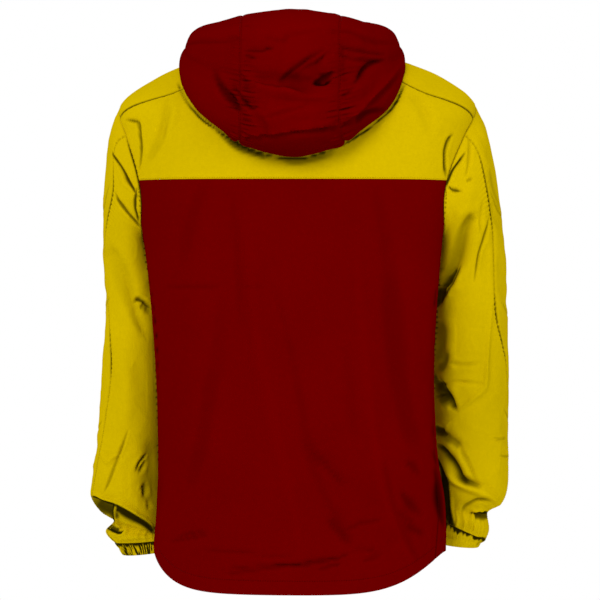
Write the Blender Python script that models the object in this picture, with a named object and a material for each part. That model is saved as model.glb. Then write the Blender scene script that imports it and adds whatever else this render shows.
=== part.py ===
"""Anorak pullover, filled out as when worn, with its hood lying down on the back.

Metres, +Z up. The origin is the middle of the neck opening, level with the top
of the shoulders beside the neck. The wearer looks along -Y, their left is +X.

Three smooth surfaces carry the whole garment: the torso, each sleeve and the
hood. A panel is a patch of one of them between its seams, given a wall of cloth
towards the inside, so that neighbours meet with one seam gap between them.
"""

import math

import bmesh
import bpy
import numpy as np

WALL = 0.0015  # one layer of cloth
HEM_WALL = 0.0026  # cloth turned up and stitched down
HEM_DEPTH = 0.020
SEAM_GAP = 0.0003

YELLOW = (0.63, 0.45, 0.0)
DARK_RED = (0.14, 0.0, 0.0)
ZIP_GREY = (0.06, 0.012, 0.012)
METAL = (0.35, 0.33, 0.30)

# Rings round the torso, from the hem up to the neck. left and right are half
# widths; middle_y is where a ring is widest; back_y and front_y are its depths;
# a round above 0 slims that half towards a point and below 0 squares it; the
# three z are its heights, held over more of its length as hold grows; twist
# turns it towards the wearer's left, in degrees; lean lifts its left side.
TORSO_COLUMNS = (
    "left", "right", "middle_y", "back_y", "front_y", "back_round", "front_round",
    "side_z", "back_z", "front_z", "hold", "twist", "lean",
)
TORSO_ROWS = (
    (0.202, 0.213, 0.000, 0.112, -0.120, 0.00, 0.10, -0.702, -0.757, -0.702, 5.2, 10.0, 0.005),
    (0.197, 0.211, 0.010, 0.112, -0.121, 0.00, 0.12, -0.636, -0.680, -0.640, 5.0, 9.0, 0.003),
    (0.193, 0.199, 0.030, 0.111, -0.121, -0.05, 0.20, -0.566, -0.582, -0.570, 3.0, 6.0, 0.001),
    (0.196, 0.193, 0.045, 0.111, -0.120, -0.10, 0.26, -0.460, -0.464, -0.465, 2.0, 4.0, 0.000),
    (0.204, 0.198, 0.048, 0.115, -0.120, -0.10, 0.26, -0.345, -0.345, -0.350, 2.0, 2.0, 0.000),
    (0.216, 0.207, 0.036, 0.119, -0.117, -0.15, 0.20, -0.252, -0.252, -0.262, 2.0, 1.0, 0.000),
    (0.232, 0.224, 0.014, 0.118, -0.110, -0.25, 0.05, -0.185, -0.186, -0.215, 2.0, 0.0, 0.000),
    (0.244, 0.245, 0.000, 0.112, -0.102, -0.32, -0.10, -0.124, -0.132, -0.160, 2.0, 0.0, 0.000),
    (0.248, 0.254, -0.005, 0.102, -0.095, -0.32, -0.15, -0.075, -0.094, -0.125, 2.0, 0.0, 0.000),
    (0.199, 0.210, -0.004, 0.090, -0.090, -0.20, -0.10, -0.038, -0.062, -0.102, 2.0, 0.0, 0.000),
    (0.144, 0.152, -0.002, 0.081, -0.087, -0.10, -0.05, -0.014, -0.038, -0.086, 2.0, 0.0, 0.000),
    (0.095, 0.095, 0.000, 0.075, -0.085, 0.00, 0.00, 0.000, -0.022, -0.072, 2.0, 0.0, 0.000),
)
HEM, HEM_RING, UNDERARM, SHOULDER_TIP, NECK = 0.0, 0.28, 5.0, 8.0, 11.0
LEFT_SIDE_SEAM, RIGHT_SIDE_SEAM = 95.0, -76.0  # where the side seams meet the hem, in degrees

# The armhole, as angles and rings of the torso.
ARMHOLE_TOP_ANGLE, ARMHOLE_FOOT_ANGLE = 90.0, 97.0
ARMHOLE_BACK_SWING, ARMHOLE_FRONT_SWING = {1: 20.5, -1: 23.0}, 30.0  # 1 is the left, -1 the right
ARMHOLE_BACK_SCOOP = {1: 0.65, -1: 0.35}  # how much more of the back's swing is in its lower half
BACK_YOKE_AT, SHOULDER_SEAM_AT, FRONT_YOKE_AT = 109.5, 46.0, 250.5  # degrees round the armhole
SHOULDER_SEAM = ((56.0, 8.2), (46.5, 8.7), (42.0, 9.8), (42.0, NECK))  # (angle, ring), up to the neck

# Sections of the sleeves, from the armhole down. inner and outer are the ends
# of a section, as distances from the middle of the body and heights; middle_y
# and depth place and size it from back to front.
SLEEVE_COLUMNS = ("inner_x", "inner_z", "outer_x", "outer_z", "middle_y", "depth")
LEFT_SLEEVE_ROWS = (
    (0.213, -0.252, 0.2480, -0.075, -0.008, 0.063),
    (0.215, -0.263, 0.2640, -0.111, -0.016, 0.069),
    (0.212, -0.277, 0.2730, -0.170, -0.030, 0.071),
    (0.203, -0.295, 0.2775, -0.232, -0.043, 0.070),
    (0.192, -0.325, 0.2770, -0.300, -0.053, 0.069),
    (0.186, -0.385, 0.2755, -0.375, -0.058, 0.068),
    (0.186, -0.450, 0.2800, -0.448, -0.060, 0.067),
    (0.188, -0.520, 0.2850, -0.520, -0.066, 0.065),
    (0.192, -0.590, 0.2920, -0.575, -0.073, 0.063),
    (0.192, -0.650, 0.2965, -0.614, -0.078, 0.063),
    (0.191, -0.684, 0.2985, -0.636, -0.080, 0.060),
    (0.191, -0.689, 0.2855, -0.657, -0.080, 0.048),
    (0.191, -0.691, 0.2650, -0.672, -0.080, 0.039),
    (0.188, -0.694, 0.2765, -0.688, -0.080, 0.042),
    (0.188, -0.699, 0.2640, -0.704, -0.080, 0.035),
)
RIGHT_SLEEVE_ROWS = (
    (0.206, -0.252, 0.2540, -0.075, -0.008, 0.063),
    (0.207, -0.263, 0.2710, -0.111, -0.015, 0.070),
    (0.204, -0.276, 0.2850, -0.170, -0.026, 0.073),
    (0.199, -0.293, 0.2950, -0.232, -0.038, 0.072),
    (0.195, -0.322, 0.3015, -0.300, -0.046, 0.070),
    (0.192, -0.385, 0.3050, -0.375, -0.052, 0.068),
    (0.193, -0.450, 0.3060, -0.448, -0.056, 0.067),
    (0.196, -0.520, 0.3065, -0.520, -0.064, 0.065),
    (0.198, -0.570, 0.3075, -0.585, -0.072, 0.063),
    (0.199, -0.600, 0.3070, -0.622, -0.078, 0.063),
    (0.201, -0.626, 0.2990, -0.646, -0.080, 0.058),
    (0.203, -0.640, 0.2810, -0.657, -0.080, 0.048),
    (0.204, -0.650, 0.2775, -0.664, -0.080, 0.042),
    (0.206, -0.660, 0.2800, -0.684, -0.080, 0.043),
    (0.206, -0.668, 0.2755, -0.700, -0.080, 0.036),
)
# The sleeve's back seam, in degrees round from its outer side, one value a section.
LEFT_BACK_SEAM = (67.0, 56.0, 62.0, 42.0, 20.0, 36.0, 50.0, 42.0, 34.0, 26.0, 24.0, 22.0, 22.0, 22.0, 22.0)
RIGHT_BACK_SEAM = (67.0, 59.0, 55.0, 52.0, 53.0, 50.0, 24.0, 10.0, 6.0, 6.0, 6.0, 6.0, 6.0, 6.0, 6.0)

# Elastic wrist bands: the end of each, in the sleeve's own columns.
LEFT_WRIST = (0.190, -0.7165, 0.2515, -0.7225, -0.080, 0.031)
RIGHT_WRIST = (0.209, -0.706, 0.2640, -0.7115, -0.080, 0.031)
CUFF_GATHERS, CUFF_ROWS = 18, 3
GATHER_DEPTH = 0.0011

# Profile of the hood from the neck seam to the face edge: (out, up) from the
# seam at the centre front, the front corner, the side, the back corner and the
# centre back, which lie HOOD_PLACE degrees apart round the neck.
HOOD_PLACE = 45.0
HOOD_ROWS = (
    ((0.0000, 0.000), (0.0000, 0.000), (0.000, 0.000), (0.000, 0.000), (0.000, 0.000)),
    ((0.0020, 0.009), (0.0040, 0.009), (0.010, 0.009), (0.012, 0.004), (0.012, -0.002)),
    ((0.0040, 0.018), (0.0100, 0.018), (0.023, 0.012), (0.030, -0.010), (0.028, -0.028)),
    ((0.0050, 0.026), (0.0160, 0.024), (0.034, 0.008), (0.046, -0.038), (0.038, -0.068)),
    ((0.0060, 0.033), (0.0210, 0.028), (0.043, 0.003), (0.056, -0.068), (0.046, -0.108)),
    ((0.0070, 0.039), (0.0250, 0.030), (0.049, -0.001), (0.066, -0.088), (0.058, -0.134)),
    ((0.0080, 0.044), (0.0280, 0.033), (0.054, -0.002), (0.080, -0.087), (0.086, -0.129)),
    ((0.0085, 0.048), (0.0300, 0.037), (0.057, 0.001), (0.090, -0.074), (0.112, -0.107)),
    ((0.0085, 0.052), (0.0310, 0.041), (0.057, 0.005), (0.094, -0.055), (0.122, -0.082)),
    ((0.0085, 0.055), (0.0305, 0.044), (0.055, 0.009), (0.093, -0.037), (0.124, -0.058)),
    ((0.0085, 0.058), (0.0290, 0.046), (0.050, 0.011), (0.086, -0.021), (0.112, -0.042)),
    ((0.0080, 0.060), (0.0285, 0.048), (0.048, 0.014), (0.088, -0.006), (0.119, -0.022)),
    ((0.0080, 0.062), (0.0280, 0.050), (0.045, 0.019), (0.086, 0.010), (0.121, 0.010)),
    ((0.0075, 0.064), (0.0260, 0.052), (0.040, 0.024), (0.079, 0.028), (0.110, 0.040)),
    ((0.0070, 0.065), (0.0220, 0.053), (0.032, 0.027), (0.065, 0.039), (0.088, 0.060)),
    ((0.0055, 0.064), (0.0160, 0.051), (0.023, 0.026), (0.047, 0.040), (0.064, 0.063)),
    ((0.0040, 0.060), (0.0100, 0.045), (0.015, 0.018), (0.034, 0.029), (0.046, 0.050)),
    ((0.0030, 0.055), (0.0070, 0.036), (0.010, 0.007), (0.026, 0.012), (0.037, 0.026)),
)
HOOD_LEAN = 0.075  # how far it leans to the wearer's left, as a share of how far out it is
HOOD_CENTRE_HALF = 0.062  # half the width of the hood's centre panel
HOOD_CLEARANCE, HOOD_LIES_TO = 0.0029, 8.0  # how far it lies off the yokes, and down to which row

ZIP_HALF = 0.0068  # half the width of the closed zip

# The largest folds: half width, height (below 0 a trough) and the line each
# follows, as (x, z) seen from behind or from in front.
FOLDS_BEHIND = (
    (0.010, -0.0045, ((0.262, -0.138), (0.233, -0.186), (0.221, -0.212))),
    (0.011, -0.0045, ((0.258, -0.196), (0.244, -0.220), (0.215, -0.256))),
    (0.014, 0.0040, ((0.268, -0.270), (0.250, -0.307), (0.237, -0.349), (0.222, -0.385))),
    (0.011, -0.0040, ((0.266, -0.356), (0.257, -0.415), (0.251, -0.481), (0.243, -0.535))),
    (0.010, -0.0045, ((0.1935, -0.470), (0.215, -0.502), (0.228, -0.540))),
    (0.012, 0.0040, ((0.222, -0.530), (0.246, -0.565), (0.262, -0.590))),
    (0.011, -0.0050, ((0.203, -0.562), (0.226, -0.591), (0.250, -0.612))),
    (0.013, -0.0070, ((-0.260, -0.222), (-0.230, -0.271), (-0.218, -0.307), (-0.198, -0.338))),
    (0.010, -0.0045, ((-0.240, -0.138), (-0.2275, -0.157), (-0.218, -0.172), (-0.211, -0.198))),
    (0.013, -0.0045, ((-0.271, -0.398), (-0.268, -0.463), (-0.232, -0.502))),
    (0.012, -0.0060, ((-0.190, -0.551), (-0.225, -0.585), (-0.264, -0.617))),
    (0.011, 0.0040, ((-0.192, -0.574), (-0.215, -0.603), (-0.250, -0.623))),
    (0.011, -0.0045, ((0.108, -0.052), (0.089, -0.076), (0.066, -0.100))),
    (0.014, 0.0040, ((0.072, -0.050), (0.042, -0.066), (0.009, -0.073), (-0.052, -0.081))),
    (0.013, -0.0080, ((0.030, -0.054), (-0.006, -0.052), (-0.050, -0.040))),
    (0.010, -0.0035, ((0.060, -0.084), (0.020, -0.087), (-0.040, -0.090))),
)
FOLDS_IN_FRONT = (
    (0.012, -0.0050, ((0.272, -0.292), (0.235, -0.330), (0.205, -0.352))),
    (0.012, 0.0035, ((0.268, -0.330), (0.236, -0.362), (0.203, -0.385))),
    (0.011, -0.0045, ((0.204, -0.300), (0.232, -0.262), (0.246, -0.228))),
    (0.012, -0.0050, ((0.206, -0.575), (0.236, -0.604), (0.270, -0.612))),
    (0.012, -0.0055, ((-0.288, -0.286), (-0.248, -0.322), (-0.210, -0.346))),
    (0.012, 0.0035, ((-0.284, -0.326), (-0.246, -0.356), (-0.208, -0.378))),
    (0.011, -0.0045, ((-0.206, -0.296), (-0.236, -0.256), (-0.252, -0.222))),
    (0.012, -0.0050, ((-0.212, -0.560), (-0.246, -0.592), (-0.282, -0.598))),
)

# How finely each patch is divided.
SHOULDER_STEPS, NECK_STEPS = 9, 10
SIDE_STEPS, LOWER_ARMHOLE_STEPS, BACK_ARMHOLE_STEPS, FRONT_ARMHOLE_STEPS = 10, 5, 6, 12


def table(columns, rows):
    return {name: np.array([row[i] for row in rows], float) for i, name in enumerate(columns)}


def along(values, at):
    """The smooth curve through evenly spaced values, read at fractional places."""
    values = np.asarray(values, float)
    last = len(values) - 1
    at = np.clip(np.asarray(at, float), 0.0, last)
    start = np.minimum(at.astype(int), last - 1)
    t = at - start
    slopes = np.gradient(values, axis=0)
    t = t.reshape(t.shape + (1,) * (values.ndim - 1))
    p0, p1, m0, m1 = values[start], values[start + 1], slopes[start], slopes[start + 1]
    return (
        p0 * (2 * t**3 - 3 * t**2 + 1)
        + m0 * (t**3 - 2 * t**2 + t)
        + p1 * (3 * t**2 - 2 * t**3)
        + m1 * (t**3 - t**2)
    )


TORSO = table(TORSO_COLUMNS, TORSO_ROWS)
HOOD = np.array(HOOD_ROWS)
HOOD = np.concatenate([HOOD[:, 1:2], HOOD, HOOD[:, -2:-1]], axis=1)  # mirrored past both ends


def torso(angle, ring):
    """A point of the torso: angle 0 is the centre back, 90 the wearer's left."""
    row = {name: along(values, ring) for name, values in TORSO.items()}
    turned = np.radians(angle + row["twist"])
    s, c = np.sin(turned), np.cos(turned)
    x = (row["left"] - row["right"]) / 2 + (row["left"] + row["right"]) / 2 * s
    back = (row["back_y"] - row["middle_y"]) * (1 - row["back_round"] * s**2)
    front = (row["middle_y"] - row["front_y"]) * (1 - row["front_round"] * s**2)
    y = row["middle_y"] + np.where(c > 0, back, front) * c
    held = 1 - np.abs(np.sin(np.radians(angle))) ** row["hold"]
    end_z = np.where(np.cos(np.radians(angle)) > 0, row["back_z"], row["front_z"])
    z = row["side_z"] + (end_z - row["side_z"]) * held + row["lean"] * np.sin(np.radians(angle)) ** 3
    return np.stack([x, y, z], axis=-1)


def armhole(side, around):
    """(angle, ring) of the torso at a place round the armhole: 0 its top, 90 its back."""
    phase = np.radians(around)
    down = (1 - np.cos(phase)) / 2
    ring = SHOULDER_TIP + (UNDERARM - SHOULDER_TIP) * down
    middle = ARMHOLE_TOP_ANGLE + (ARMHOLE_FOOT_ANGLE - ARMHOLE_TOP_ANGLE) * down
    back = ARMHOLE_BACK_SWING[side] * (1 - ARMHOLE_BACK_SCOOP[side] * np.cos(phase))
    swing = np.where(np.sin(phase) > 0, back, ARMHOLE_FRONT_SWING)
    return side * (middle - swing * np.sin(phase)), ring


def outward(surface, u, v, reach_v, facing):
    """Unit normals of a surface, turned so that facing makes them point out of the garment."""
    step_u, step_v = 0.5, 0.02
    v = np.clip(v, step_v, reach_v - step_v)
    across = surface(u + step_u, v) - surface(u - step_u, v)
    along_v = surface(u, v + step_v) - surface(u, v - step_v)
    normal = facing * np.cross(across, along_v)
    return normal / np.maximum(np.linalg.norm(normal, axis=-1, keepdims=True), 1e-12)


def patch(bottom, top, left, right):
    """The grid of places that four runs of places bound, each run given as (u, v) rows."""
    bottom, top, left, right = (np.asarray(run, float) for run in (bottom, top, left, right))
    s = np.linspace(0, 1, len(bottom))[None, :, None]
    t = np.linspace(0, 1, len(left))[:, None, None]
    rows = (1 - t) * bottom[None] + t * top[None]
    columns = (1 - s) * left[:, None] + s * right[:, None]
    corners = (1 - t) * ((1 - s) * bottom[0] + s * bottom[-1]) + t * ((1 - s) * top[0] + s * top[-1])
    return rows + columns - corners


def level(start, end, ring, steps):
    return np.stack([np.linspace(start, end, steps + 1), np.full(steps + 1, float(ring))], axis=-1)


def hole_run(side, start, end, steps, turn=0.0):
    angle, ring = armhole(side, np.linspace(start, end, steps + 1))
    return np.stack([angle + turn, ring], axis=-1)


def shoulder_run(side, turn=0.0):
    """The shoulder seam from the armhole up to the neck, as (angle, ring) rows."""
    angle, ring = armhole(side, SHOULDER_SEAM_AT)
    knots = np.array([(side * float(angle), float(ring)), *SHOULDER_SEAM])
    run = along(knots, np.linspace(0, len(knots) - 1, SHOULDER_STEPS + 1))
    return run * (side, 1.0) + (turn, 0.0)


def front_angle(x, ring):
    """The torso angle at which its front is this far to the wearer's left."""
    left, right = along(TORSO["left"], ring), along(TORSO["right"], ring)
    return 180.0 - np.degrees(np.arcsin((x - (left - right) / 2) / ((left + right) / 2)))


def folded(points, normals, folds, view_y):
    """The points moved along their normals by the folds that face the view."""
    facing = np.clip((normals[..., 1] * view_y - 0.1) / 0.5, 0, 1)
    moved = np.zeros(points.shape[:-1])
    for half_width, height, line in folds:
        fine = along(np.array(line), np.linspace(0, len(line) - 1, 25))
        away = np.linalg.norm(points[..., None, ::2] - fine, axis=-1)
        nearest = np.argmin(away, axis=-1)
        taper = np.sin(np.pi * (nearest + 0.5) / 25) ** 0.7
        moved = moved + height * taper * np.exp(-((np.min(away, axis=-1) / half_width) ** 2))
    return points + normals * (moved * facing)[..., None]


def fallen(points, normals):
    return folded(folded(points, normals, FOLDS_BEHIND, 1), normals, FOLDS_IN_FRONT, -1)


def resting(points, clearance):
    """The points raised to lie at least this far off the shoulders and the back."""
    angle, ring = np.meshgrid(np.arange(-180.0, 180.0, 3.0), np.linspace(UNDERARM, NECK, 61))
    body = torso(angle, ring).reshape(-1, 3)
    normals = outward(torso, angle, ring, NECK, -1).reshape(-1, 3)
    flat = points.reshape(-1, 3)
    nearest = np.array([np.argmin(((body - point) ** 2).sum(axis=1)) for point in flat])
    above = ((flat - body[nearest]) * normals[nearest]).sum(axis=1)
    lift = np.maximum(np.broadcast_to(clearance, points.shape[:-1]).reshape(-1) - above, 0)
    return points + (normals[nearest] * lift[:, None]).reshape(points.shape)


def pulled_in(grid, gap, closed):
    """The grid with its open edges drawn in along the cloth by half a seam gap."""
    grid = grid.copy()

    def draw(edge, inner):
        step = inner - edge
        return edge + step / np.linalg.norm(step, axis=-1, keepdims=True) * gap / 2

    first, last = draw(grid[0], grid[1]), draw(grid[-1], grid[-2])
    grid[0], grid[-1] = first, last
    if not closed:
        left, right = draw(grid[:, 0], grid[:, 1]), draw(grid[:, -1], grid[:, -2])
        grid[:, 0], grid[:, -1] = left, right
    return grid


def cloth(name, material, outer, normals, wall=WALL, closed=False, gap=SEAM_GAP):
    """A panel: the outer points, the same points one wall further in, and a rim round them."""
    outer = pulled_in(outer, gap, closed)
    inner = outer - normals * np.broadcast_to(wall, outer.shape[:2])[..., None]
    rows, columns = outer.shape[:2]
    mesh = bmesh.new()
    sides = [[[mesh.verts.new(p) for p in row] for row in side.tolist()] for side in (outer, inner)]
    spans = columns if closed else columns - 1
    for i in range(rows - 1):
        for j in range(spans):
            k = (j + 1) % columns
            for side in sides:
                mesh.faces.new((side[i][j], side[i][k], side[i + 1][k], side[i + 1][j]))
    rims = [[(i, j) for j in range(columns)] + ([(i, 0)] if closed else []) for i in (0, rows - 1)]
    if not closed:
        rims += [[(i, j) for i in range(rows)] for j in (0, columns - 1)]
    for rim in rims:
        for (i, j), (k, m) in zip(rim, rim[1:]):
            mesh.faces.new((sides[0][i][j], sides[0][k][m], sides[1][k][m], sides[1][i][j]))
    return finished(name, material, mesh)


def finished(name, material, mesh):
    """The mesh as an object whose faces point out, shaded smooth between its sharp edges."""
    bmesh.ops.recalc_face_normals(mesh, faces=mesh.faces)
    if mesh.calc_volume(signed=True) < 0:
        bmesh.ops.reverse_faces(mesh, faces=mesh.faces)
    data = bpy.data.meshes.new(name)
    mesh.to_mesh(data)
    mesh.free()
    data.shade_smooth()
    data.set_sharp_from_angle(angle=math.radians(50))
    data.materials.append(material)
    made = bpy.data.objects.new(name, data)
    bpy.context.scene.collection.objects.link(made)
    return made


def torso_panel(name, material, places, wall=WALL):
    angle, ring = places[..., 0], places[..., 1]
    cloth(name, material, torso(angle, ring), outward(torso, angle, ring, NECK, -1), wall)


def hem_wall(outer):
    """The wall of a body panel: doubled where the hem is turned up."""
    length = np.cumsum(np.linalg.norm(np.diff(outer, axis=0), axis=-1), axis=0)
    below = np.concatenate([np.zeros((1, outer.shape[1])), length]) <= HEM_DEPTH * 1.05
    return np.where(below, HEM_WALL, WALL)


def side_run(angle, turn=0.0):
    """A side seam from the hem to the underarm, with its first step at the top of the hem."""
    rings = np.concatenate([[0.0], np.linspace(HEM_RING, UNDERARM, SIDE_STEPS)])
    foot = math.copysign(ARMHOLE_FOOT_ANGLE, angle)
    return np.stack([angle + (foot - angle) * rings / UNDERARM + turn, rings], axis=-1)


def make_body(yellow, red):
    ends = [float(armhole(side, BACK_YOKE_AT)[0]) for side in (-1, 1)]
    columns = 2 * SHOULDER_STEPS + NECK_STEPS
    back_seam = level(*ends, float(armhole(1, BACK_YOKE_AT)[1]), columns)
    edges = [
        np.concatenate([
            side_run(seam),
            hole_run(side, 180, BACK_YOKE_AT, LOWER_ARMHOLE_STEPS)[1:],
        ])
        for side, seam in ((-1, RIGHT_SIDE_SEAM), (1, LEFT_SIDE_SEAM))
    ]
    places = patch(level(RIGHT_SIDE_SEAM, LEFT_SIDE_SEAM, HEM, columns), back_seam, *edges)
    torso_panel("back_body", red, places, hem_wall(torso(places[..., 0], places[..., 1])))

    neck_end = SHOULDER_SEAM[-1][0]
    top = np.concatenate([
        shoulder_run(-1),
        level(-neck_end, neck_end, NECK, NECK_STEPS)[1:],
        shoulder_run(1)[::-1][1:],
    ])
    edges = [hole_run(side, BACK_YOKE_AT, SHOULDER_SEAM_AT, BACK_ARMHOLE_STEPS) for side in (-1, 1)]
    torso_panel("back_yoke", yellow, patch(back_seam, top, *edges))

    front_ring = float(armhole(1, FRONT_YOKE_AT)[1])
    front_edge = float(armhole(1, FRONT_YOKE_AT)[0])
    halves = []
    for side, name in ((1, "left"), (-1, "right")):
        turn = 0.0 if side > 0 else 360.0
        inner = float(front_angle(side * ZIP_HALF, front_ring))
        bottom = level(inner, side * front_edge + turn, front_ring, SHOULDER_STEPS)
        up_steps = FRONT_ARMHOLE_STEPS // 2
        up = np.linspace(front_ring, NECK, up_steps + 1)
        up = np.stack([front_angle(side * ZIP_HALF, up), up], axis=-1)
        neck = level(up[-1, 0], side * neck_end + turn, NECK, FRONT_ARMHOLE_STEPS - up_steps)
        hole = hole_run(side, FRONT_YOKE_AT - 360, SHOULDER_SEAM_AT, FRONT_ARMHOLE_STEPS, turn)
        places = patch(bottom, shoulder_run(side, turn)[::-1], np.concatenate([up, neck[1:]]), hole)
        torso_panel(f"front_yoke_{name}", yellow, places)
        halves.append(bottom)

    zip_bottom = level(halves[0][0, 0], halves[1][0, 0], front_ring, 2)
    front_seam = np.concatenate([halves[0][::-1], zip_bottom[1:-1], halves[1]])
    edges = [
        np.concatenate([side_run(LEFT_SIDE_SEAM), hole_run(1, 180, FRONT_YOKE_AT, LOWER_ARMHOLE_STEPS)[1:]]),
        np.concatenate([
            side_run(RIGHT_SIDE_SEAM, 360.0),
            hole_run(-1, 180, FRONT_YOKE_AT, LOWER_ARMHOLE_STEPS, 360.0)[1:],
        ]),
    ]
    hem = level(LEFT_SIDE_SEAM, 360 + RIGHT_SIDE_SEAM, HEM, len(front_seam) - 1)
    places = patch(hem, front_seam, *edges)
    torso_panel("front_body", red, places, hem_wall(torso(places[..., 0], places[..., 1])))


# How far down a sleeve, in sections, it takes the armhole's own shape.
ARMHOLE_EASE = 2.5
SLEEVE_UPPER_STEPS, SLEEVE_LOWER_STEPS, SLEEVE_BREAK = 14, 12, 8


def sleeve(side, rows):
    """The sleeve's surface: around 0 is its outer side and 90 its back; section counts down it."""
    columns = table(SLEEVE_COLUMNS, rows)

    def ring(around, section):
        row = {name: along(values, section) for name, values in columns.items()}
        s, c = np.sin(np.radians(around)), np.cos(np.radians(around))
        x = (row["inner_x"] + row["outer_x"]) / 2 + (row["outer_x"] - row["inner_x"]) / 2 * c
        z = (row["inner_z"] + row["outer_z"]) / 2 + (row["outer_z"] - row["inner_z"]) / 2 * c
        return np.stack([side * x, row["middle_y"] + row["depth"] * s, z], axis=-1)

    def surface(around, section):
        left = np.clip(1 - section / ARMHOLE_EASE, 0, 1)[..., None]
        hole = torso(*armhole(side, around))
        return ring(around, section) + (hole - ring(around, 0 * section)) * left**2 * (3 - 2 * left)

    return surface


def make_sleeves(yellow):
    lower = np.linspace(180, BACK_YOKE_AT, LOWER_ARMHOLE_STEPS + 1)
    back = np.linspace(BACK_YOKE_AT, SHOULDER_SEAM_AT, BACK_ARMHOLE_STEPS + 1)
    front = np.linspace(SHOULDER_SEAM_AT, FRONT_YOKE_AT - 360, FRONT_ARMHOLE_STEPS + 1)
    last = np.linspace(FRONT_YOKE_AT - 360, -180, LOWER_ARMHOLE_STEPS + 1)
    around = np.concatenate([lower, back[1:], front[1:], last[1:]])
    seam_at = LOWER_ARMHOLE_STEPS + BACK_ARMHOLE_STEPS - 2
    upper = np.linspace(0, SLEEVE_BREAK, SLEEVE_UPPER_STEPS + 1)
    for side, name, rows, seam, wrist in (
        (1, "left", LEFT_SLEEVE_ROWS, LEFT_BACK_SEAM, LEFT_WRIST),
        (-1, "right", RIGHT_SLEEVE_ROWS, RIGHT_BACK_SEAM, RIGHT_WRIST),
    ):
        end = len(rows) - 1
        section = np.concatenate([upper, np.linspace(SLEEVE_BREAK, end, SLEEVE_LOWER_STEPS + 1)[1:]])
        shift = along(np.array(seam) - seam[0], section)[:, None]
        share = np.where(around > around[seam_at], (180 - around) / (180 - around[seam_at]),
                         (around + 180) / (around[seam_at] + 180))
        turned = around[None] + shift * share[None]
        down = np.broadcast_to(section[:, None], turned.shape)
        surface = sleeve(side, rows)
        outer, normals = surface(turned, down), outward(surface, turned, down, end, -side)
        # No fold crosses a seamed edge.
        held = np.clip(down / ARMHOLE_EASE, 0, 1) * np.clip(end - down, 0, 1)
        outer = outer + (fallen(outer, normals) - outer) * held[..., None]
        for panel, part in (("back", slice(0, seam_at + 1)), ("front", slice(seam_at, None))):
            cloth(f"sleeve_{panel}_{name}", yellow, outer[:, part], normals[:, part])
        make_cuff(f"cuff_{name}", yellow, side, (rows[-1], wrist))


def make_cuff(name, material, side, rows):
    """An elastic band whose cloth is drawn into short upright gathers."""
    columns = table(SLEEVE_COLUMNS, rows)
    around = np.arange(4 * CUFF_GATHERS) * 360 / (4 * CUFF_GATHERS)
    down = np.linspace(0.01, 1, CUFF_ROWS)
    around, down = np.meshgrid(around, down)
    s, c = np.sin(np.radians(around)), np.cos(np.radians(around))
    ripple = GATHER_DEPTH * np.sin(np.radians(around) * CUFF_GATHERS)
    row = {key: values[0] + (values[1] - values[0]) * down for key, values in columns.items()}
    x = (row["inner_x"] + row["outer_x"]) / 2 + ((row["outer_x"] - row["inner_x"]) / 2 + ripple) * c
    z = (row["inner_z"] + row["outer_z"]) / 2 + (row["outer_z"] - row["inner_z"]) / 2 * c
    outer = np.stack([side * x, row["middle_y"] + (row["depth"] + ripple) * s, z], axis=-1)
    normals = np.stack([side * c, s, 0 * c], axis=-1)
    cloth(name, material, outer, normals, closed=True)


HOOD_STEPS, HOOD_SIDE_STEPS, HOOD_CENTRE_STEPS = 16, 15, 12


def hood(around, station):
    """The hood's surface: around 0 is the centre front, 90 the wearer's left, 180 the back."""
    around, station = np.broadcast_arrays(around, station)
    place = 1 + (180 - np.abs(180 - around)) / HOOD_PLACE
    profile = along(HOOD, station)
    profile = np.moveaxis(profile, -2, 0)
    start = np.clip(place.astype(int), 1, len(HOOD[0]) - 3)
    t = (place - start)[..., None]
    before, here, there, after = (
        np.take_along_axis(profile, (start + k)[None, ..., None], axis=0)[0] for k in (-1, 0, 1, 2)
    )
    lean_here, lean_there = (there - before) / 2, (after - here) / 2
    out, up = np.moveaxis(
        here * (2 * t**3 - 3 * t**2 + 1) + lean_here * (t**3 - 2 * t**2 + t)
        + there * (3 * t**2 - 2 * t**3) + lean_there * (t**3 - t**2),
        -1, 0,
    )
    turn = np.radians(around)
    seam = torso(180.0 - around, np.full(np.shape(turn), NECK))
    return seam + np.stack([out * (np.sin(turn) + HOOD_LEAN), -out * np.cos(turn), up], axis=-1)


def neck_edge(angle):
    """The neck edge of the yokes, which runs straight between their own points."""
    neck_end = SHOULDER_SEAM[-1][0]
    left, right = (float(front_angle(side * ZIP_HALF, NECK)) for side in (1, -1))
    front_steps = FRONT_ARMHOLE_STEPS - FRONT_ARMHOLE_STEPS // 2
    knots = np.concatenate([
        np.linspace(right - 360, -neck_end, front_steps + 1),
        np.linspace(-neck_end, neck_end, NECK_STEPS + 1)[1:],
        np.linspace(neck_end, left, front_steps + 1)[1:],
    ])
    points = torso(knots, np.full(knots.shape, NECK))
    return np.stack([np.interp(angle, knots, points[:, axis]) for axis in range(3)], axis=-1)


def throat_angle(x, station):
    """Where round the hood its throat is this far to the wearer's left, in degrees either side of 0."""
    depth = -hood(np.zeros(np.shape(station)), station)[..., 1]
    lean = hood(np.zeros(np.shape(station)), station)[..., 0]
    return np.degrees(np.arctan2(x - lean, depth))


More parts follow.
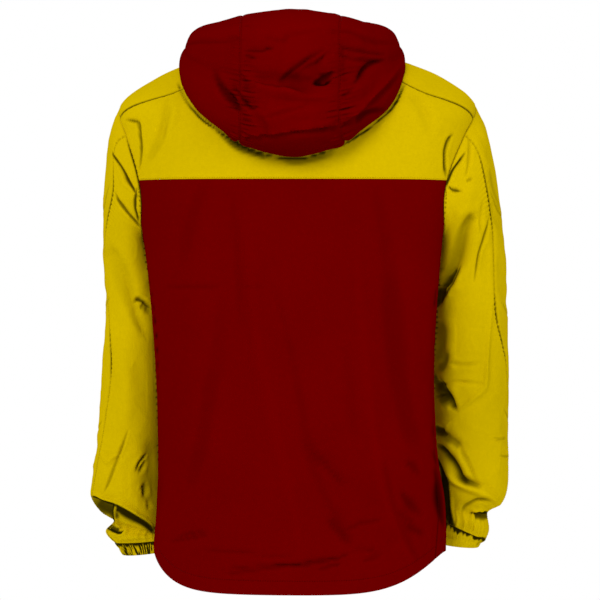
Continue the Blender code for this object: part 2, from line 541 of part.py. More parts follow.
def make_hood(red):
    last = len(HOOD_ROWS) - 1.0
    station = np.concatenate([[0.0, 0.5], np.linspace(1, last, HOOD_STEPS)])
    reach = hood(np.full(station.shape, 180.0), station)[:, 1]
    seam = 180 - np.degrees(np.arcsin(np.minimum(HOOD_CENTRE_HALF / reach, 0.99)))
    left, right = throat_angle(ZIP_HALF, station), throat_angle(-ZIP_HALF, station)
    for name, start, end, steps in (
        ("hood_left", left, seam, HOOD_SIDE_STEPS),
        ("hood_centre", seam, 360 - seam, HOOD_CENTRE_STEPS),
        ("hood_right", 360 - seam, 360 + right, HOOD_SIDE_STEPS),
    ):
        share = np.linspace(0, 1, steps + 1)[None]
        around = start[:, None] + (end - start)[:, None] * share
        down = np.broadcast_to(station[:, None], around.shape)
        outer, normals = hood(around, down), outward(hood, around, down, last, 1)
        outer = resting(outer, HOOD_CLEARANCE * np.clip(down, 0, 1) * np.clip(HOOD_LIES_TO - down, 0, 1))
        outer = fallen(outer, normals)
        outer[0] = neck_edge(180.0 - around[0]) + (0, 0, SEAM_GAP)
        cloth(name, red, outer, normals)


# The closed zip: a tape each side of the centre front, each with half the coil.
COIL_PROUD = 0.0012
ZIP_SECTION = ((0.00, 1.0), (0.40, 1.0), (0.52, 0.0), (1.0, 0.0))  # shares of half width and coil height
ZIP_YOKE_STEPS, ZIP_TOP_STATION = 8, 13.0


def zip_line(x):
    """The centre front at a distance to the wearer's left, from the front seam up to the hood's throat."""
    ring = np.linspace(float(armhole(1, FRONT_YOKE_AT)[1]), NECK, ZIP_YOKE_STEPS + 1)
    station = np.array([1.0, 3.0, 5.0, 7.0, 9.0, 11.0, ZIP_TOP_STATION])
    lower = torso(front_angle(x, ring), ring)
    upper = hood(throat_angle(x, station) % 360, station)
    return np.concatenate([lower, upper])


def make_zip(tape, metal):
    forward = np.array([0.0, -1.0, 0.0])
    for side, name in ((1, "left"), (-1, "right")):
        columns = [zip_line(side * share * (ZIP_HALF - SEAM_GAP / 2)) + forward * COIL_PROUD * height
                   for share, height in ZIP_SECTION]
        outer = np.stack(columns, axis=1)
        wall = WALL + COIL_PROUD * np.array([height for _, height in ZIP_SECTION])[None]
        normals = np.broadcast_to(forward, outer.shape)
        cloth(f"zip_tape_{name}", tape, outer, normals, wall)
    make_slider(metal)


# The slider stands over the top of the coil. Its pull hangs in the bridge.
SLIDER_STATION = 10.0
SLIDER_SIZE = (0.0076, 0.0024, 0.0100)  # across, through, along
BRIDGE_SIZE = (0.0020, 0.0034, 0.0080)
BRIDGE_BAR = 0.0009
PULL_WIDTH, PULL_THICK, PULL_LENGTH = 0.0062, 0.0011, 0.0210
EYE_WIDTH, EYE_LENGTH = 0.0032, 0.0062
CLEAR = 0.0004
SINK = 0.0004  # how far one box runs into the next
EDGE_BEVEL = 0.0002


def box(mesh, low, high):
    """A box between two corners, added to a bmesh."""
    made = bmesh.ops.create_cube(mesh, size=1.0)["verts"]
    low, high = np.array(low), np.array(high)
    for vert in made:
        vert.co = tuple((low + high) / 2 + np.array(vert.co) * (high - low))


def joined(name, material, boxes):
    """Overlapping boxes made one body, with their edges bevelled."""
    parts = []
    for low, high in boxes:
        mesh = bmesh.new()
        box(mesh, low, high)
        data = bpy.data.meshes.new(name)
        mesh.to_mesh(data)
        mesh.free()
        part = bpy.data.objects.new(name, data)
        bpy.context.scene.collection.objects.link(part)
        parts.append(part)
    first = parts[0]
    first.data.materials.append(material)
    for other in parts[1:]:
        union = first.modifiers.new("join", "BOOLEAN")
        union.operation, union.object = "UNION", other
        other.hide_render, other.display_type = True, "WIRE"
        other.name = f"{name}_joined"
    rounding = first.modifiers.new("edges", "BEVEL")
    rounding.width, rounding.segments, rounding.limit_method = EDGE_BEVEL, 1, "ANGLE"


def slider_place():
    """The middle of the slider's back face, just in front of the coil."""
    y = min(zip_line(0.0)[:, 1][-4:]) - COIL_PROUD - CLEAR
    return np.array([0.0, y, hood(np.array(0.0), np.array(SLIDER_STATION))[2]])


def make_slider(metal):
    x, y, z = slider_place()
    wide, thick, tall = SLIDER_SIZE
    across, out, length = BRIDGE_SIZE
    face = y - thick
    left, right, low, high = x - across / 2, x + across / 2, z - length / 2, z + length / 2
    joined("zip_slider", metal, (
        ((x - wide / 2, face, z - tall / 2), (x + wide / 2, y, z + tall / 2)),
        ((left, face - out, low), (right, face + SINK, low + BRIDGE_BAR)),
        ((left, face - out, high - BRIDGE_BAR), (right, face + SINK, high)),
        ((left, face - out, low), (right, face - out + BRIDGE_BAR, high)),
    ))
    pull = face - (out - BRIDGE_BAR) / 2  # its bar turns half way between the slider and its bridge
    front, back = pull - PULL_THICK / 2, pull + PULL_THICK / 2
    left, right, eye_left, eye_right = (
        x + size / 2 for size in (-PULL_WIDTH, PULL_WIDTH, -EYE_WIDTH, EYE_WIDTH)
    )
    top, eye, foot = z + PULL_THICK / 2, z - EYE_LENGTH, z - PULL_LENGTH
    joined("zip_pull", metal, (
        ((left, front, foot), (right, back, eye)),
        ((left, front, eye - SINK), (eye_left, back, top)),
        ((eye_right, front, eye - SINK), (right, back, top)),
        ((left, front, top - PULL_THICK), (right, back, top)),
    ))


def plain(name, colour, roughness, metallic=0.0):
    material = bpy.data.materials.new(name)
    material.use_nodes = True
    shader = material.node_tree.nodes["Principled BSDF"]
    shader.inputs["Base Color"].default_value = (*colour, 1)
    shader.inputs["Roughness"].default_value = roughness
    shader.inputs["Metallic"].default_value = metallic
    material.diffuse_color = (*colour, 1)
    return material


def main():
    for old in list(bpy.data.objects):
        bpy.data.objects.remove(old)
    yellow = plain("yellow_nylon", YELLOW, 0.6)
    red = plain("dark_red_nylon", DARK_RED, 0.6)
    make_body(yellow, red)
    make_sleeves(yellow)
    make_hood(red)
    make_zip(plain("zip_tape", ZIP_GREY, 0.7), plain("zip_metal", METAL, 0.35, 1.0))


main()
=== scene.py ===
"""Anorak pullover, filled out as when worn, with its hood lying down on the back.

Every panel is a thin shell on the form of its CAD node: the same torso, sleeve and
hood surfaces, divided finely, with the creases, puckered seams, stitching and zip
teeth that the cloth shows. Metres, +Z up; the wearer looks along -Y.
"""

import math

import bmesh
import bpy
import numpy as np
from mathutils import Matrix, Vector
from mathutils.kdtree import KDTree


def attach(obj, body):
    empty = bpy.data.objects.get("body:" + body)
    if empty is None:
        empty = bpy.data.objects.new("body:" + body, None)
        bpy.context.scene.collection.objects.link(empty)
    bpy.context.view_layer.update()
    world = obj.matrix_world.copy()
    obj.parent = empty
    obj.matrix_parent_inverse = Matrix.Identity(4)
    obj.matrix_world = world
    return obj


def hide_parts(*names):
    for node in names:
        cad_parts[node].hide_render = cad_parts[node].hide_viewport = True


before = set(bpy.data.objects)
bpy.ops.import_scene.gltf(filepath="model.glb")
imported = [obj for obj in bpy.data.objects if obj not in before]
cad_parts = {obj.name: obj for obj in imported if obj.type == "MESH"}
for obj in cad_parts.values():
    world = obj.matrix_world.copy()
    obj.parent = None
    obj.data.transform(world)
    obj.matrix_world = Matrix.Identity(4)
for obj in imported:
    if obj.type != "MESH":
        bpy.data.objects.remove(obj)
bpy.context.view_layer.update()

BODY = "garment"
WALL = 0.0011  # one layer of cloth
HEM_WALL = 0.0022  # cloth turned up and stitched down
HEM_DEPTH = 0.020
SEAM_GAP = 0.0001
MM = 0.001

# The eye that the creases are drawn for: level, this far behind or in front.
EYE_X, EYE_Z, EYE_DISTANCE = -0.0057, -0.352, 3.2
VIEW_WIDTH = 0.852  # what the camera takes in at the garment's middle


# Rings round the torso, from the hem up to the neck. In order: its half widths to the
# left and right; the y where it is widest, at its back and at its front; how much
# its back and front halves are slimmed towards a point (squared, below 0); its
# heights at the side, back and front; how much of its length holds the side's
# height; how far it is turned to the wearer's left, in degrees; how far its left
# side is lifted.
TORSO_ROWS = (
    (0.202, 0.213, 0.000, 0.112, -0.120, 0.00, 0.10, -0.702, -0.757, -0.702, 5.2, 10.0, 0.005),
    (0.197, 0.211, 0.010, 0.112, -0.121, 0.00, 0.12, -0.636, -0.680, -0.640, 5.0, 9.0, 0.003),
    (0.193, 0.199, 0.030, 0.111, -0.121, -0.05, 0.20, -0.566, -0.582, -0.570, 3.0, 6.0, 0.001),
    (0.196, 0.193, 0.045, 0.111, -0.120, -0.10, 0.26, -0.460, -0.464, -0.465, 2.0, 4.0, 0.000),
    (0.204, 0.198, 0.048, 0.115, -0.120, -0.10, 0.26, -0.345, -0.345, -0.350, 2.0, 2.0, 0.000),
    (0.216, 0.207, 0.036, 0.119, -0.117, -0.15, 0.20, -0.252, -0.252, -0.262, 2.0, 1.0, 0.000),
    (0.232, 0.224, 0.014, 0.118, -0.110, -0.25, 0.05, -0.185, -0.186, -0.215, 2.0, 0.0, 0.000),
    (0.244, 0.245, 0.000, 0.112, -0.102, -0.32, -0.10, -0.124, -0.132, -0.160, 2.0, 0.0, 0.000),
    (0.248, 0.254, -0.005, 0.102, -0.095, -0.32, -0.15, -0.075, -0.094, -0.125, 2.0, 0.0, 0.000),
    (0.199, 0.210, -0.004, 0.090, -0.090, -0.20, -0.10, -0.038, -0.062, -0.102, 2.0, 0.0, 0.000),
    (0.144, 0.152, -0.002, 0.081, -0.087, -0.10, -0.05, -0.014, -0.038, -0.086, 2.0, 0.0, 0.000),
    (0.095, 0.095, 0.000, 0.075, -0.085, 0.00, 0.00, 0.000, -0.022, -0.072, 2.0, 0.0, 0.000),
)
HEM, UNDERARM, SHOULDER_TIP, NECK = 0.0, 5.0, 8.0, 11.0  # rings of the torso
LEFT_SIDE_SEAM, RIGHT_SIDE_SEAM = 95.0, -76.0  # where the side seams meet the hem, in degrees

# The armhole, as angles and rings of the torso.
ARMHOLE_TOP_ANGLE, ARMHOLE_FOOT_ANGLE = 90.0, 97.0
ARMHOLE_BACK_SWING, ARMHOLE_FRONT_SWING = {1: 20.5, -1: 23.0}, 30.0  # 1 is the left, -1 the right
ARMHOLE_BACK_SCOOP = {1: 0.65, -1: 0.35}  # how much more of the back's swing is in its lower half
BACK_YOKE_AT, SHOULDER_SEAM_AT, FRONT_YOKE_AT = 109.5, 46.0, 250.5  # degrees round the armhole
SHOULDER_SEAM = ((56.0, 8.2), (46.5, 8.7), (42.0, 9.8), (42.0, NECK))  # (angle, ring), up to the neck

# Sections of the sleeves, from the armhole down: the inner and the outer end, each
# as a distance from the middle of the body and a height; then the middle and the
# half depth from back to front.
LEFT_SLEEVE_ROWS = (
    (0.213, -0.252, 0.2480, -0.075, -0.008, 0.063),
    (0.215, -0.263, 0.2640, -0.111, -0.016, 0.069),
    (0.212, -0.277, 0.2730, -0.170, -0.030, 0.071),
    (0.203, -0.295, 0.2775, -0.232, -0.043, 0.070),
    (0.192, -0.325, 0.2770, -0.300, -0.053, 0.069),
    (0.186, -0.385, 0.2755, -0.375, -0.058, 0.068),
    (0.186, -0.450, 0.2800, -0.448, -0.060, 0.067),
    (0.188, -0.520, 0.2850, -0.520, -0.066, 0.065),
    (0.192, -0.590, 0.2920, -0.575, -0.073, 0.063),
    (0.192, -0.650, 0.2965, -0.614, -0.078, 0.063),
    (0.191, -0.684, 0.2985, -0.636, -0.080, 0.060),
    (0.191, -0.689, 0.2855, -0.657, -0.080, 0.048),
    (0.191, -0.691, 0.2650, -0.672, -0.080, 0.039),
    (0.188, -0.694, 0.2765, -0.688, -0.080, 0.042),
    (0.188, -0.699, 0.2640, -0.704, -0.080, 0.035),
)
RIGHT_SLEEVE_ROWS = (
    (0.206, -0.252, 0.2540, -0.075, -0.008, 0.063),
    (0.207, -0.263, 0.2710, -0.111, -0.015, 0.070),
    (0.204, -0.276, 0.2850, -0.170, -0.026, 0.073),
    (0.199, -0.293, 0.2950, -0.232, -0.038, 0.072),
    (0.195, -0.322, 0.3015, -0.300, -0.046, 0.070),
    (0.192, -0.385, 0.3050, -0.375, -0.052, 0.068),
    (0.193, -0.450, 0.3060, -0.448, -0.056, 0.067),
    (0.196, -0.520, 0.3065, -0.520, -0.064, 0.065),
    (0.198, -0.570, 0.3075, -0.585, -0.072, 0.063),
    (0.199, -0.600, 0.3070, -0.622, -0.078, 0.063),
    (0.201, -0.626, 0.2990, -0.646, -0.080, 0.058),
    (0.203, -0.640, 0.2810, -0.657, -0.080, 0.048),
    (0.204, -0.650, 0.2775, -0.664, -0.080, 0.042),
    (0.206, -0.660, 0.2800, -0.684, -0.080, 0.043),
    (0.206, -0.668, 0.2755, -0.700, -0.080, 0.036),
)
# The sleeve's back seam, in degrees round from its outer side, one value a section.
LEFT_BACK_SEAM = (67.0, 56.0, 62.0, 42.0, 20.0, 36.0, 50.0, 42.0, 34.0, 26.0, 24.0, 22.0, 22.0, 22.0, 22.0)
RIGHT_BACK_SEAM = (67.0, 59.0, 55.0, 52.0, 53.0, 50.0, 24.0, 10.0, 6.0, 6.0, 6.0, 6.0, 6.0, 6.0, 6.0)

# Elastic wrist bands: the end of each, in the sleeve's own columns.
LEFT_WRIST = (0.190, -0.7165, 0.2515, -0.7225, -0.080, 0.031)
RIGHT_WRIST = (0.209, -0.706, 0.2640, -0.7115, -0.080, 0.031)

# Profile of the hood from the neck seam to the face edge: (out, up) from the
# seam at the centre front, the front corner, the side, the back corner and the
# centre back, which lie HOOD_PLACE degrees apart round the neck.
HOOD_PLACE = 45.0
HOOD_ROWS = (
    ((0.0000, 0.000), (0.0000, 0.000), (0.000, 0.000), (0.000, 0.000), (0.000, 0.000)),
    ((0.0020, 0.009), (0.0040, 0.009), (0.010, 0.009), (0.012, 0.004), (0.012, -0.002)),
    ((0.0040, 0.018), (0.0100, 0.018), (0.023, 0.012), (0.030, -0.010), (0.028, -0.028)),
    ((0.0050, 0.026), (0.0160, 0.024), (0.034, 0.008), (0.046, -0.038), (0.038, -0.068)),
    ((0.0060, 0.033), (0.0210, 0.028), (0.043, 0.003), (0.056, -0.068), (0.046, -0.108)),
    ((0.0070, 0.039), (0.0250, 0.030), (0.049, -0.001), (0.066, -0.088), (0.058, -0.134)),
    ((0.0080, 0.044), (0.0280, 0.033), (0.054, -0.002), (0.080, -0.087), (0.086, -0.129)),
    ((0.0085, 0.048), (0.0300, 0.037), (0.057, 0.001), (0.090, -0.074), (0.112, -0.107)),
    ((0.0085, 0.052), (0.0310, 0.041), (0.057, 0.005), (0.094, -0.055), (0.122, -0.082)),
    ((0.0085, 0.055), (0.0305, 0.044), (0.055, 0.009), (0.093, -0.037), (0.124, -0.058)),
    ((0.0085, 0.058), (0.0290, 0.046), (0.050, 0.011), (0.086, -0.021), (0.112, -0.042)),
    ((0.0080, 0.060), (0.0285, 0.048), (0.048, 0.014), (0.088, -0.006), (0.119, -0.022)),
    ((0.0080, 0.062), (0.0280, 0.050), (0.045, 0.019), (0.086, 0.010), (0.121, 0.010)),
    ((0.0075, 0.064), (0.0260, 0.052), (0.040, 0.024), (0.079, 0.028), (0.110, 0.040)),
    ((0.0070, 0.065), (0.0220, 0.053), (0.032, 0.027), (0.065, 0.039), (0.088, 0.060)),
    ((0.0055, 0.064), (0.0160, 0.051), (0.023, 0.026), (0.047, 0.040), (0.064, 0.063)),
    ((0.0040, 0.060), (0.0100, 0.045), (0.015, 0.018), (0.034, 0.029), (0.046, 0.050)),
    ((0.0030, 0.055), (0.0070, 0.036), (0.010, 0.007), (0.026, 0.012), (0.037, 0.026)),
)
HOOD_LEAN = 0.075  # how far it leans to the wearer's left, as a share of how far out it is
HOOD_CENTRE_HALF = 0.062  # half the width of the hood's centre panel
HOOD_CLEARANCE, HOOD_LIES_TO = 0.0029, 8.0  # how far it lies off the yokes, and down to which row

ZIP_HALF = 0.0068  # half the width of the closed zip

# Creases as seen from behind, in millimetres: half width, height (below 0 a
# trough), tilt (one lip standing over the other), the painted shade at its middle
# (a share, not a length; below 0 a painted highlight on a crest), and x, z, x, z ... along its line.
# Rows with no height are painted shadow alone, as where a sleeve meets the body, under a
# cuff's rim and under the hood.
CREASES_BEHIND = (
    # yoke left
    (2.2, -1.6, 0.8, 0.75, 241, -96, 231, -98, 224, -101, 222, -118, 220, -139, 222, -165),
    (6, -2.6, 1, 0.12, 182, -69, 186, -94, 192, -116, 199, -133, 210, -155),
    (6, 1.2, 0, 0, 170, -74, 176, -99, 185, -125),
    # left sleeve
    (2.2, -1.6, 0.8, 0.9, 261, -142, 257, -150, 245, -169, 240, -182, 231, -195, 224, -207),
    (2.4, -1, 0.6, 0.1, 253, -159, 240, -183, 224, -201),
    (2.2, -1.6, 0.8, 0.75, 256, -200, 251, -213, 242, -225, 231, -238, 220, -251),
    (2.4, -2.4, 1.4, 0.95, 211, -571, 217, -577, 223, -584, 228, -595),
    (3, -3, 1, 0.7, 212, -581, 217, -588, 223, -596),
    (2.2, -1.6, 1, 0.4, 239, -538, 247, -559, 256, -581, 266, -608, 273, -625),
    (2.2, 1.4, 0.8, 0, 282, -562, 274, -574, 268, -582, 260, -575, 248, -572),
    (9, -3.4, 3.6, 0.12, 273, -277, 258, -294, 250, -313, 238, -348, 227, -379, 217, -400),
    (2.8, -3.2, 1, 0.85, 230, -356, 225, -352, 219, -353, 212, -358, 204, -365),
    (5, -3, 0, 0.45, 220, -358, 213, -363, 206, -372),
    (9, 2, 0, 0, 256, -395, 244, -434, 239, -480, 241, -522),
    (6, 1.8, 0, 0, 267, -370, 258, -423, 251, -476),
    (10, -3, 0, 0.3, 207, -551, 206, -608, 204, -653),
    (2.2, 0, 0, 0.95, 224, -184, 222, -210, 217, -267, 208, -324, 201, -380, 198, -437, 197, -494, 195,
     -551, 194, -608, 193, -636, 196, -664),
    (2.4, -1.2, 0, 0.9, 226, -193, 229, -217, 224, -241),
    (3.4, -2.6, 0, 0.8, 213, -613, 214, -619, 212, -625, 216, -632),
    (2.6, -1.6, 0, 0.4, 215, -615, 211, -620, 214, -625, 212, -630),
    (2.4, -1.2, 0, 0.3, 210, -636, 208, -643, 210, -650),
    (2.4, 2.2, 0, -0.6, 291, -628, 284, -629, 274, -634, 263, -637, 252, -641, 237, -649, 223, -658, 208,
     -668, 200, -682),
    (3.4, -0.6, 0, 1.2, 292, -631, 285, -632, 274, -637, 263, -641, 253, -645, 239, -653, 224, -662, 211,
     -672, 202, -681, 200, -684),
    (9, 0, 0, 0.93, 292, -632, 281, -639, 273, -645, 263, -650, 258, -657, 257, -663),
    (6, 0, 0, 1.05, 264, -643, 253, -648, 239, -656, 224, -664, 213, -671, 204, -678, 200, -683),
    (2.2, 1.8, 0, -0.5, 256, -642, 257, -650, 257, -657, 255, -666, 253, -672, 250, -677),
    (2.4, -0.8, 0, 1.2, 260, -640, 260, -647, 260, -654, 259, -660, 257, -667),
    (3.4, -1.8, 0, 1.2, 270, -674, 264, -677, 257, -680, 251, -682, 244, -679),
    (3.4, -0.6, 0, 0.9, 268, -672, 263, -673, 256, -677, 248, -675),
    (2.2, 1.8, 0, -0.5, 254, -688, 248, -685, 243, -681, 241, -677, 241, -673, 245, -669),
    (2.2, 1.2, 0, -0.5, 258, -696, 245, -691, 223, -689, 209, -688, 200, -684),
    # yoke right
    (2.2, -1.6, -0.6, 0.85, -223, -116, -217, -124, -212, -140, -212, -153, -212, -166, -212, -177),
    (7, -2.4, 0, 0.05, -162, -57, -182, -85, -190, -116),
    # right sleeve
    (2.4, -2.6, 0.8, 0.95, -240, -143, -232, -154, -222, -168, -216, -182, -213, -192),
    (2.2, -1.8, 0, 0.85, -216, -191, -224, -196, -235, -198),
    (2.6, -1, 0.6, 0.2, -243, -118, -246, -134, -245, -158, -241, -176),
    (2.2, -1, 0, 0.3, -251, -179, -242, -184),
    (2.2, -1.4, 0.8, 0.6, -274, -234, -268, -258, -260, -282, -257, -297, -253, -325),
    (2.6, -0.9, 0.4, 0.1, -266, -211, -262, -238, -261, -255),
    (9, 1.8, 0, 0, -253, -184, -241, -210, -227, -237),
    (8, -6, 2, 0.42, -255, -231, -247, -238, -238, -255, -229, -284, -220, -309, -209, -329),
    (5, -5, 0, 0.9, -226, -307, -219, -319, -212, -329, -203, -339),
    (4, -3, 0, 0.9, -213, -329, -207, -343, -204, -358),
    (2.2, -1.6, 1, 0.75, -234, -301, -226, -319, -216, -337, -204, -355),
    (2.4, -0.9, 0, 0.25, -275, -166, -280, -190, -283, -201, -290, -226),
    (5, 1.4, 0, 0, -278, -249, -280, -299, -280, -346),
    (2.2, -2, 1.2, 0.95, -203, -460, -209, -474, -215, -488, -221, -500, -229, -511),
    (5, 0, 0, 0.8, -196, -454, -200, -473, -206, -491, -213, -505),
    (2.2, 0, 0, 0.95, -212, -184, -213, -210, -207, -267, -203, -324, -199, -380, -196, -437, -195, -494,
     -196, -537, -197, -558),
    (5, -2, 0, 0.9, -204, -332, -202, -346, -199, -363),
    (7, -3, 0, 0.5, -202, -378, -206, -402, -204, -426, -202, -446),
    (6, -3, 0, 0.6, -213, -426, -209, -440, -202, -454),
    (7, -6, 0, 0.9, -222, -500, -214, -491, -204, -477, -199, -466),
    (5, -5, 0, 0.93, -226, -508, -217, -495, -206, -488, -196, -491),
    (6, -5, 0, 0.9, -196, -530, -202, -539, -210, -547),
    (6, -3, 0, 0.5, -196, -534, -210, -545, -222, -552, -234, -561),
    (2.6, -1.2, 0.6, 0.2, -214, -440, -236, -445, -264, -443),
    (2.6, -1.2, 0.6, 0.1, -214, -468, -236, -470, -268, -473),
    (3.4, 1.6, 1.4, 0, -280, -358, -275, -403, -272, -447, -271, -469, -267, -481, -250, -495, -236,
     -507),
    (2.2, 1.2, 0.8, 0.3, -278, -547, -290, -549, -300, -547),
    (2.2, 1.2, 0.8, 0.35, -288, -572, -298, -574, -304, -571),
    (34, 0, 0, 0.1, -253, -352, -254, -437, -254, -522, -250, -593, -247, -664),
    (2.4, -1.2, 0.8, 0.25, -231, -556, -237, -573, -244, -585, -250, -598, -258, -614),
    (4.4, -6, 0, 0.95, -197, -555, -206, -562, -214, -572, -222, -581, -229, -593, -234, -604, -241,
     -610, -250, -613, -261, -617),
    (3.8, 3.2, 0, -0.25, -200, -569, -207, -580, -216, -595, -224, -606, -236, -614, -249, -620, -265,
     -626, -279, -634, -289, -642),
    (2.2, 0.9, 0, -0.6, -214, -599, -218, -612, -220, -630, -222, -648, -226, -663, -230, -674, -238,
     -680, -249, -684, -258, -687, -268, -686),
    (6, -0.4, 0, 1.2, -196, -568, -202, -582, -209, -596, -212, -610, -213, -627, -214, -647, -218, -663,
     -223, -674, -229, -680),
    (9, 0, 0, 0.95, -199, -593, -204, -608, -206, -629, -207, -647, -210, -663, -216, -676),
    (3.6, -0.5, 0, 1.2, -210, -663, -219, -674, -229, -683, -239, -687, -251, -690, -264, -691, -271,
     -692),
    (3.4, -2.6, 0, 0.5, -235, -653, -240, -646, -248, -641, -258, -637, -270, -636, -276, -637),
    (2.8, -1.6, 0, 1.2, -248, -655, -256, -654, -264, -654, -274, -654),
    (5.5, 0, 0, 0.85, -250, -659, -261, -658, -274, -659),
    (2.4, 2.4, 0, -0.5, -250, -650, -261, -649, -271, -649),
    (2.2, 1.6, 0, -0.6, -252, -650, -250, -666, -249, -679),
    # hood
    (5, -3.6, 1.6, 0.62, 116, -28, 102, -55, 88, -73, 77, -84),
    (2.6, -1.6, 0, 0.48, 95, -57, 85, -71, 79, -79),
    (2.6, -1.2, 0, 0.27, 105, -40, 95, -61, 84, -77),
    (8, -2.4, 0, 0, 65, -65, 55, -74, 43, -82),
    (6, 3.4, 1.8, 0, 79, -25, 70, -32, 52, -46, 25, -52, -14, -62, -57, -64),
    (6, -3, -2, 0, 28, -53, -2, -28, -25, -17, -50, 0),
    (8, -3.4, 0, 0, -57, 14, -72, -3, -68, -40),
    (7, 2.2, 0, 0, -71, -62, -94, -45, -116, -25, -142, -23),
    (4, -2.8, 0, 0.59, -87, -100, -102, -87, -128, -81),
    (5, -1.8, -1.6, 0.13, 64, -79, 45, -103, 43, -122),
    (8, -1.8, 0, 0, 48, -69, -6, -70, -57, -69),
    (5, 2.4, -2.4, 0, 85, -121, 70, -118, 20, -116, -14, -111, -58, -100, -93, -82, -115, -62, -134, -39,
     -154, -19),
    (3, -1.2, 0.8, 0.18, 160, 7, 143, 14, 102, 15, 71, 17),
    (2.8, -1.6, 0.8, 0.42, 73, 3, 52, 2, 31, 7),
    (2.6, -1.4, 0, 0.37, 73, -5, 57, -8),
    (4, -1.4, 0.8, 0.12, 47, 23, 20, 17, 7, 26, -41, 33),
    (4, -1.6, 0.8, 0.18, -48, 29, -77, 29, -106, 17, -141, 11),
    (2.8, -1.4, 0, 0.32, -43, -3, -34, -13, -28, -20),
    (4, -3.4, 0, 0.6, -28, -44, -37, -40, -45, -35, -53, -28),
    (2.6, -2.4, 0, 0.9, -23, -45, -31, -44, -41, -45, -50, -40),
    (3, -2.4, 1.2, 0.35, 24, -44, 8, -31, -9, -17, -24, -6, -40, 4),
    (7, -2, 2.2, 0.12, 21, -48, 0, -45, -20, -42),
    (3, -2.4, 1.2, 0.7, -82, -45, -91, -33, -99, -23, -109, -16, -125, -12),
    (2.6, -1.6, 1, 0.2, -57, -1, -71, -6, -85, -11, -105, -13, -122, -13),
    (2.6, -1.6, 0, 0.3, -62, 10, -80, 4, -99, 0, -125, -4),
    (3, 1.6, 1.2, -0.15, 77, -42, 62, -46, 43, -53, 18, -57, -6, -58),
    (2.4, -1.6, 0, 0.6, 79, -65, 71, -72, 64, -80, 55, -78),
    (2.2, -1.4, 0, 0.5, 85, -51, 78, -62, 72, -72),
    (5, -3, 3, 0.2, 70, -123, 37, -121, 6, -116, -31, -112, -60, -108, -85, -94, -111, -71, -134, -48,
     -151, -25),
    (2.4, 1.6, 0, -0.2, 72, -117, 37, -115, 6, -111, -31, -107, -57, -104, -81, -89, -107, -65, -129,
     -42, -146, -21),
    (2.6, -1.2, 0.8, 0.2, 48, -94, 16, -85, -20, -74),
    (2.4, -1.2, 0.8, 0.3, -62, -68, -74, -57, -80, -51),
    (18, -1.5, 0, 0.16, 17, -45, -11, -35, -43, -20),
    (17, -0.5, 0, 0.15, 71, -132, 26, -138, -17, -132, -55, -122, -88, -106, -116, -85, -141, -57),
    (22, 1, 0, -0.1, 71, -82, 17, -94, -37, -92),
    (24, 1, 0, -0.07, 150, -20, 125, -45, 102, -77),
    (16, 0.5, 0, -0.1, 136, 20, 65, 37, -34, 43, -125, 20),
    # body
    (12, -3, 1, 0, -10, -551, -42, -592, -80, -629),
    (10, -2.2, 1, 0, -40, -646, -59, -678, -81, -703),
    (16, -3, 1, 0, -99, -627, -130, -691, -165, -723),
    (9, -2.2, 0, 0, -148, -622, -169, -650, -185, -694),
    (3, -1.2, 0.8, 0.18, -77, -708, -99, -706, -116, -710),
    (3, -1.2, 0.8, 0.18, -94, -724, -125, -713),
    (2.6, -1.2, 0.8, 0.27, 14, -730, -5, -729, -30, -722, -57, -719),
    (2.6, -1.2, 0.8, 0.27, -27, -736, -53, -729, -62, -729),
    (2.8, -1.2, 0.8, 0.22, 105, -742, 48, -734, -4, -728),
    (2.8, -1.2, 0.6, 0.22, 177, -695, 150, -690, 124, -685),
    (20, 2, 0, 0, 136, -210, 142, -380, 128, -551),
    (22, -2, 0, 0, 85, -253, 91, -466, 71, -636),
    (24, 1.8, 0, 0, -6, -224, 0, -395, -14, -522),
    (18, -1.8, 0, 0, -136, -238, -145, -409, -134, -551),
    (5, -1, 0, 0.07, 92, -196, 85, -281, 79, -395),
    (10, -1.5, 0, 0.12, 116, -444, 124, -494, 135, -558, 150, -618),
    (9, -1, 0, 0.06, 105, -352, 109, -416, 114, -480),
    (8, 1, 0, -0.09, 65, -267, 61, -366, 48, -451, 30, -537, 7, -636, -9, -724),
    (6, -1, 0, 0.1, 30, -331, 11, -409, -6, -494, -18, -565, -37, -622, -60, -664, -75, -696),
    (4.6, -1.4, 0, 0.2, -11, -551, -27, -575, -44, -588, -68, -616),
    (14, -1.5, 0, 0.16, -132, -281, -138, -366, -146, -451, -158, -522, -172, -565),
    (7, 1, 0, -0.11, -84, -253, -92, -380, -104, -494, -115, -572, -134, -650, -166, -721),
    (5, -1.4, 0, 0.16, -124, -582, -136, -636, -152, -679, -176, -724),
    (4.5, -1.6, 0, 0.26, -156, -581, -165, -586, -176, -600),
    (5, -1.6, 0, 0.3, -151, -627, -162, -640, -179, -657),
    (5, -1.6, 0, 0.28, -153, -670, -166, -677, -182, -684),
    (4.5, -1.4, 0, 0.2, -145, -650, -156, -662, -168, -667),
    (5.5, -1.4, 0, 0.26, -48, -663, -61, -679, -77, -698),
    (3.6, -1.2, 0, 0.2, -70, -679, -91, -670, -122, -663),
    (2.6, -1.2, 0, 0.35, 105, -734, 48, -730, -9, -728, -54, -720, -80, -710),
    (2.6, -1, 0, 0.22, 168, -689, 150, -683, 128, -681),
    (2.6, -1, 0, 0.14, 131, -706, 79, -711, 3, -717),
    (2.4, -1, 0, 0.13, 196, -335, 150, -332, 99, -335, 45, -332),
    (9, -1, 0, 0.08, 162, -302, 150, -241, 131, -187),
    (7, -1, 0, 0.06, -70, -416, -77, -473, -80, -522, -85, -551),
    (9, -1, 0, 0.07, -114, -196, -124, -246, -131, -298),
    # painted shadow on the yoke under the hood's lower edge
    (2, 0, 0, 1.1, 168, -45, 162, -58, 153, -74, 142, -87, 131, -98, 119, -106, 105, -115),
    (2.6, 0, 0, 1.1, 114, -111, 102, -118, 88, -126, 74, -134, 57, -141, 40, -146, 26, -150),
    (5.5, 0, 0, 0.8, 108, -116, 91, -128, 74, -137, 57, -144, 40, -149),
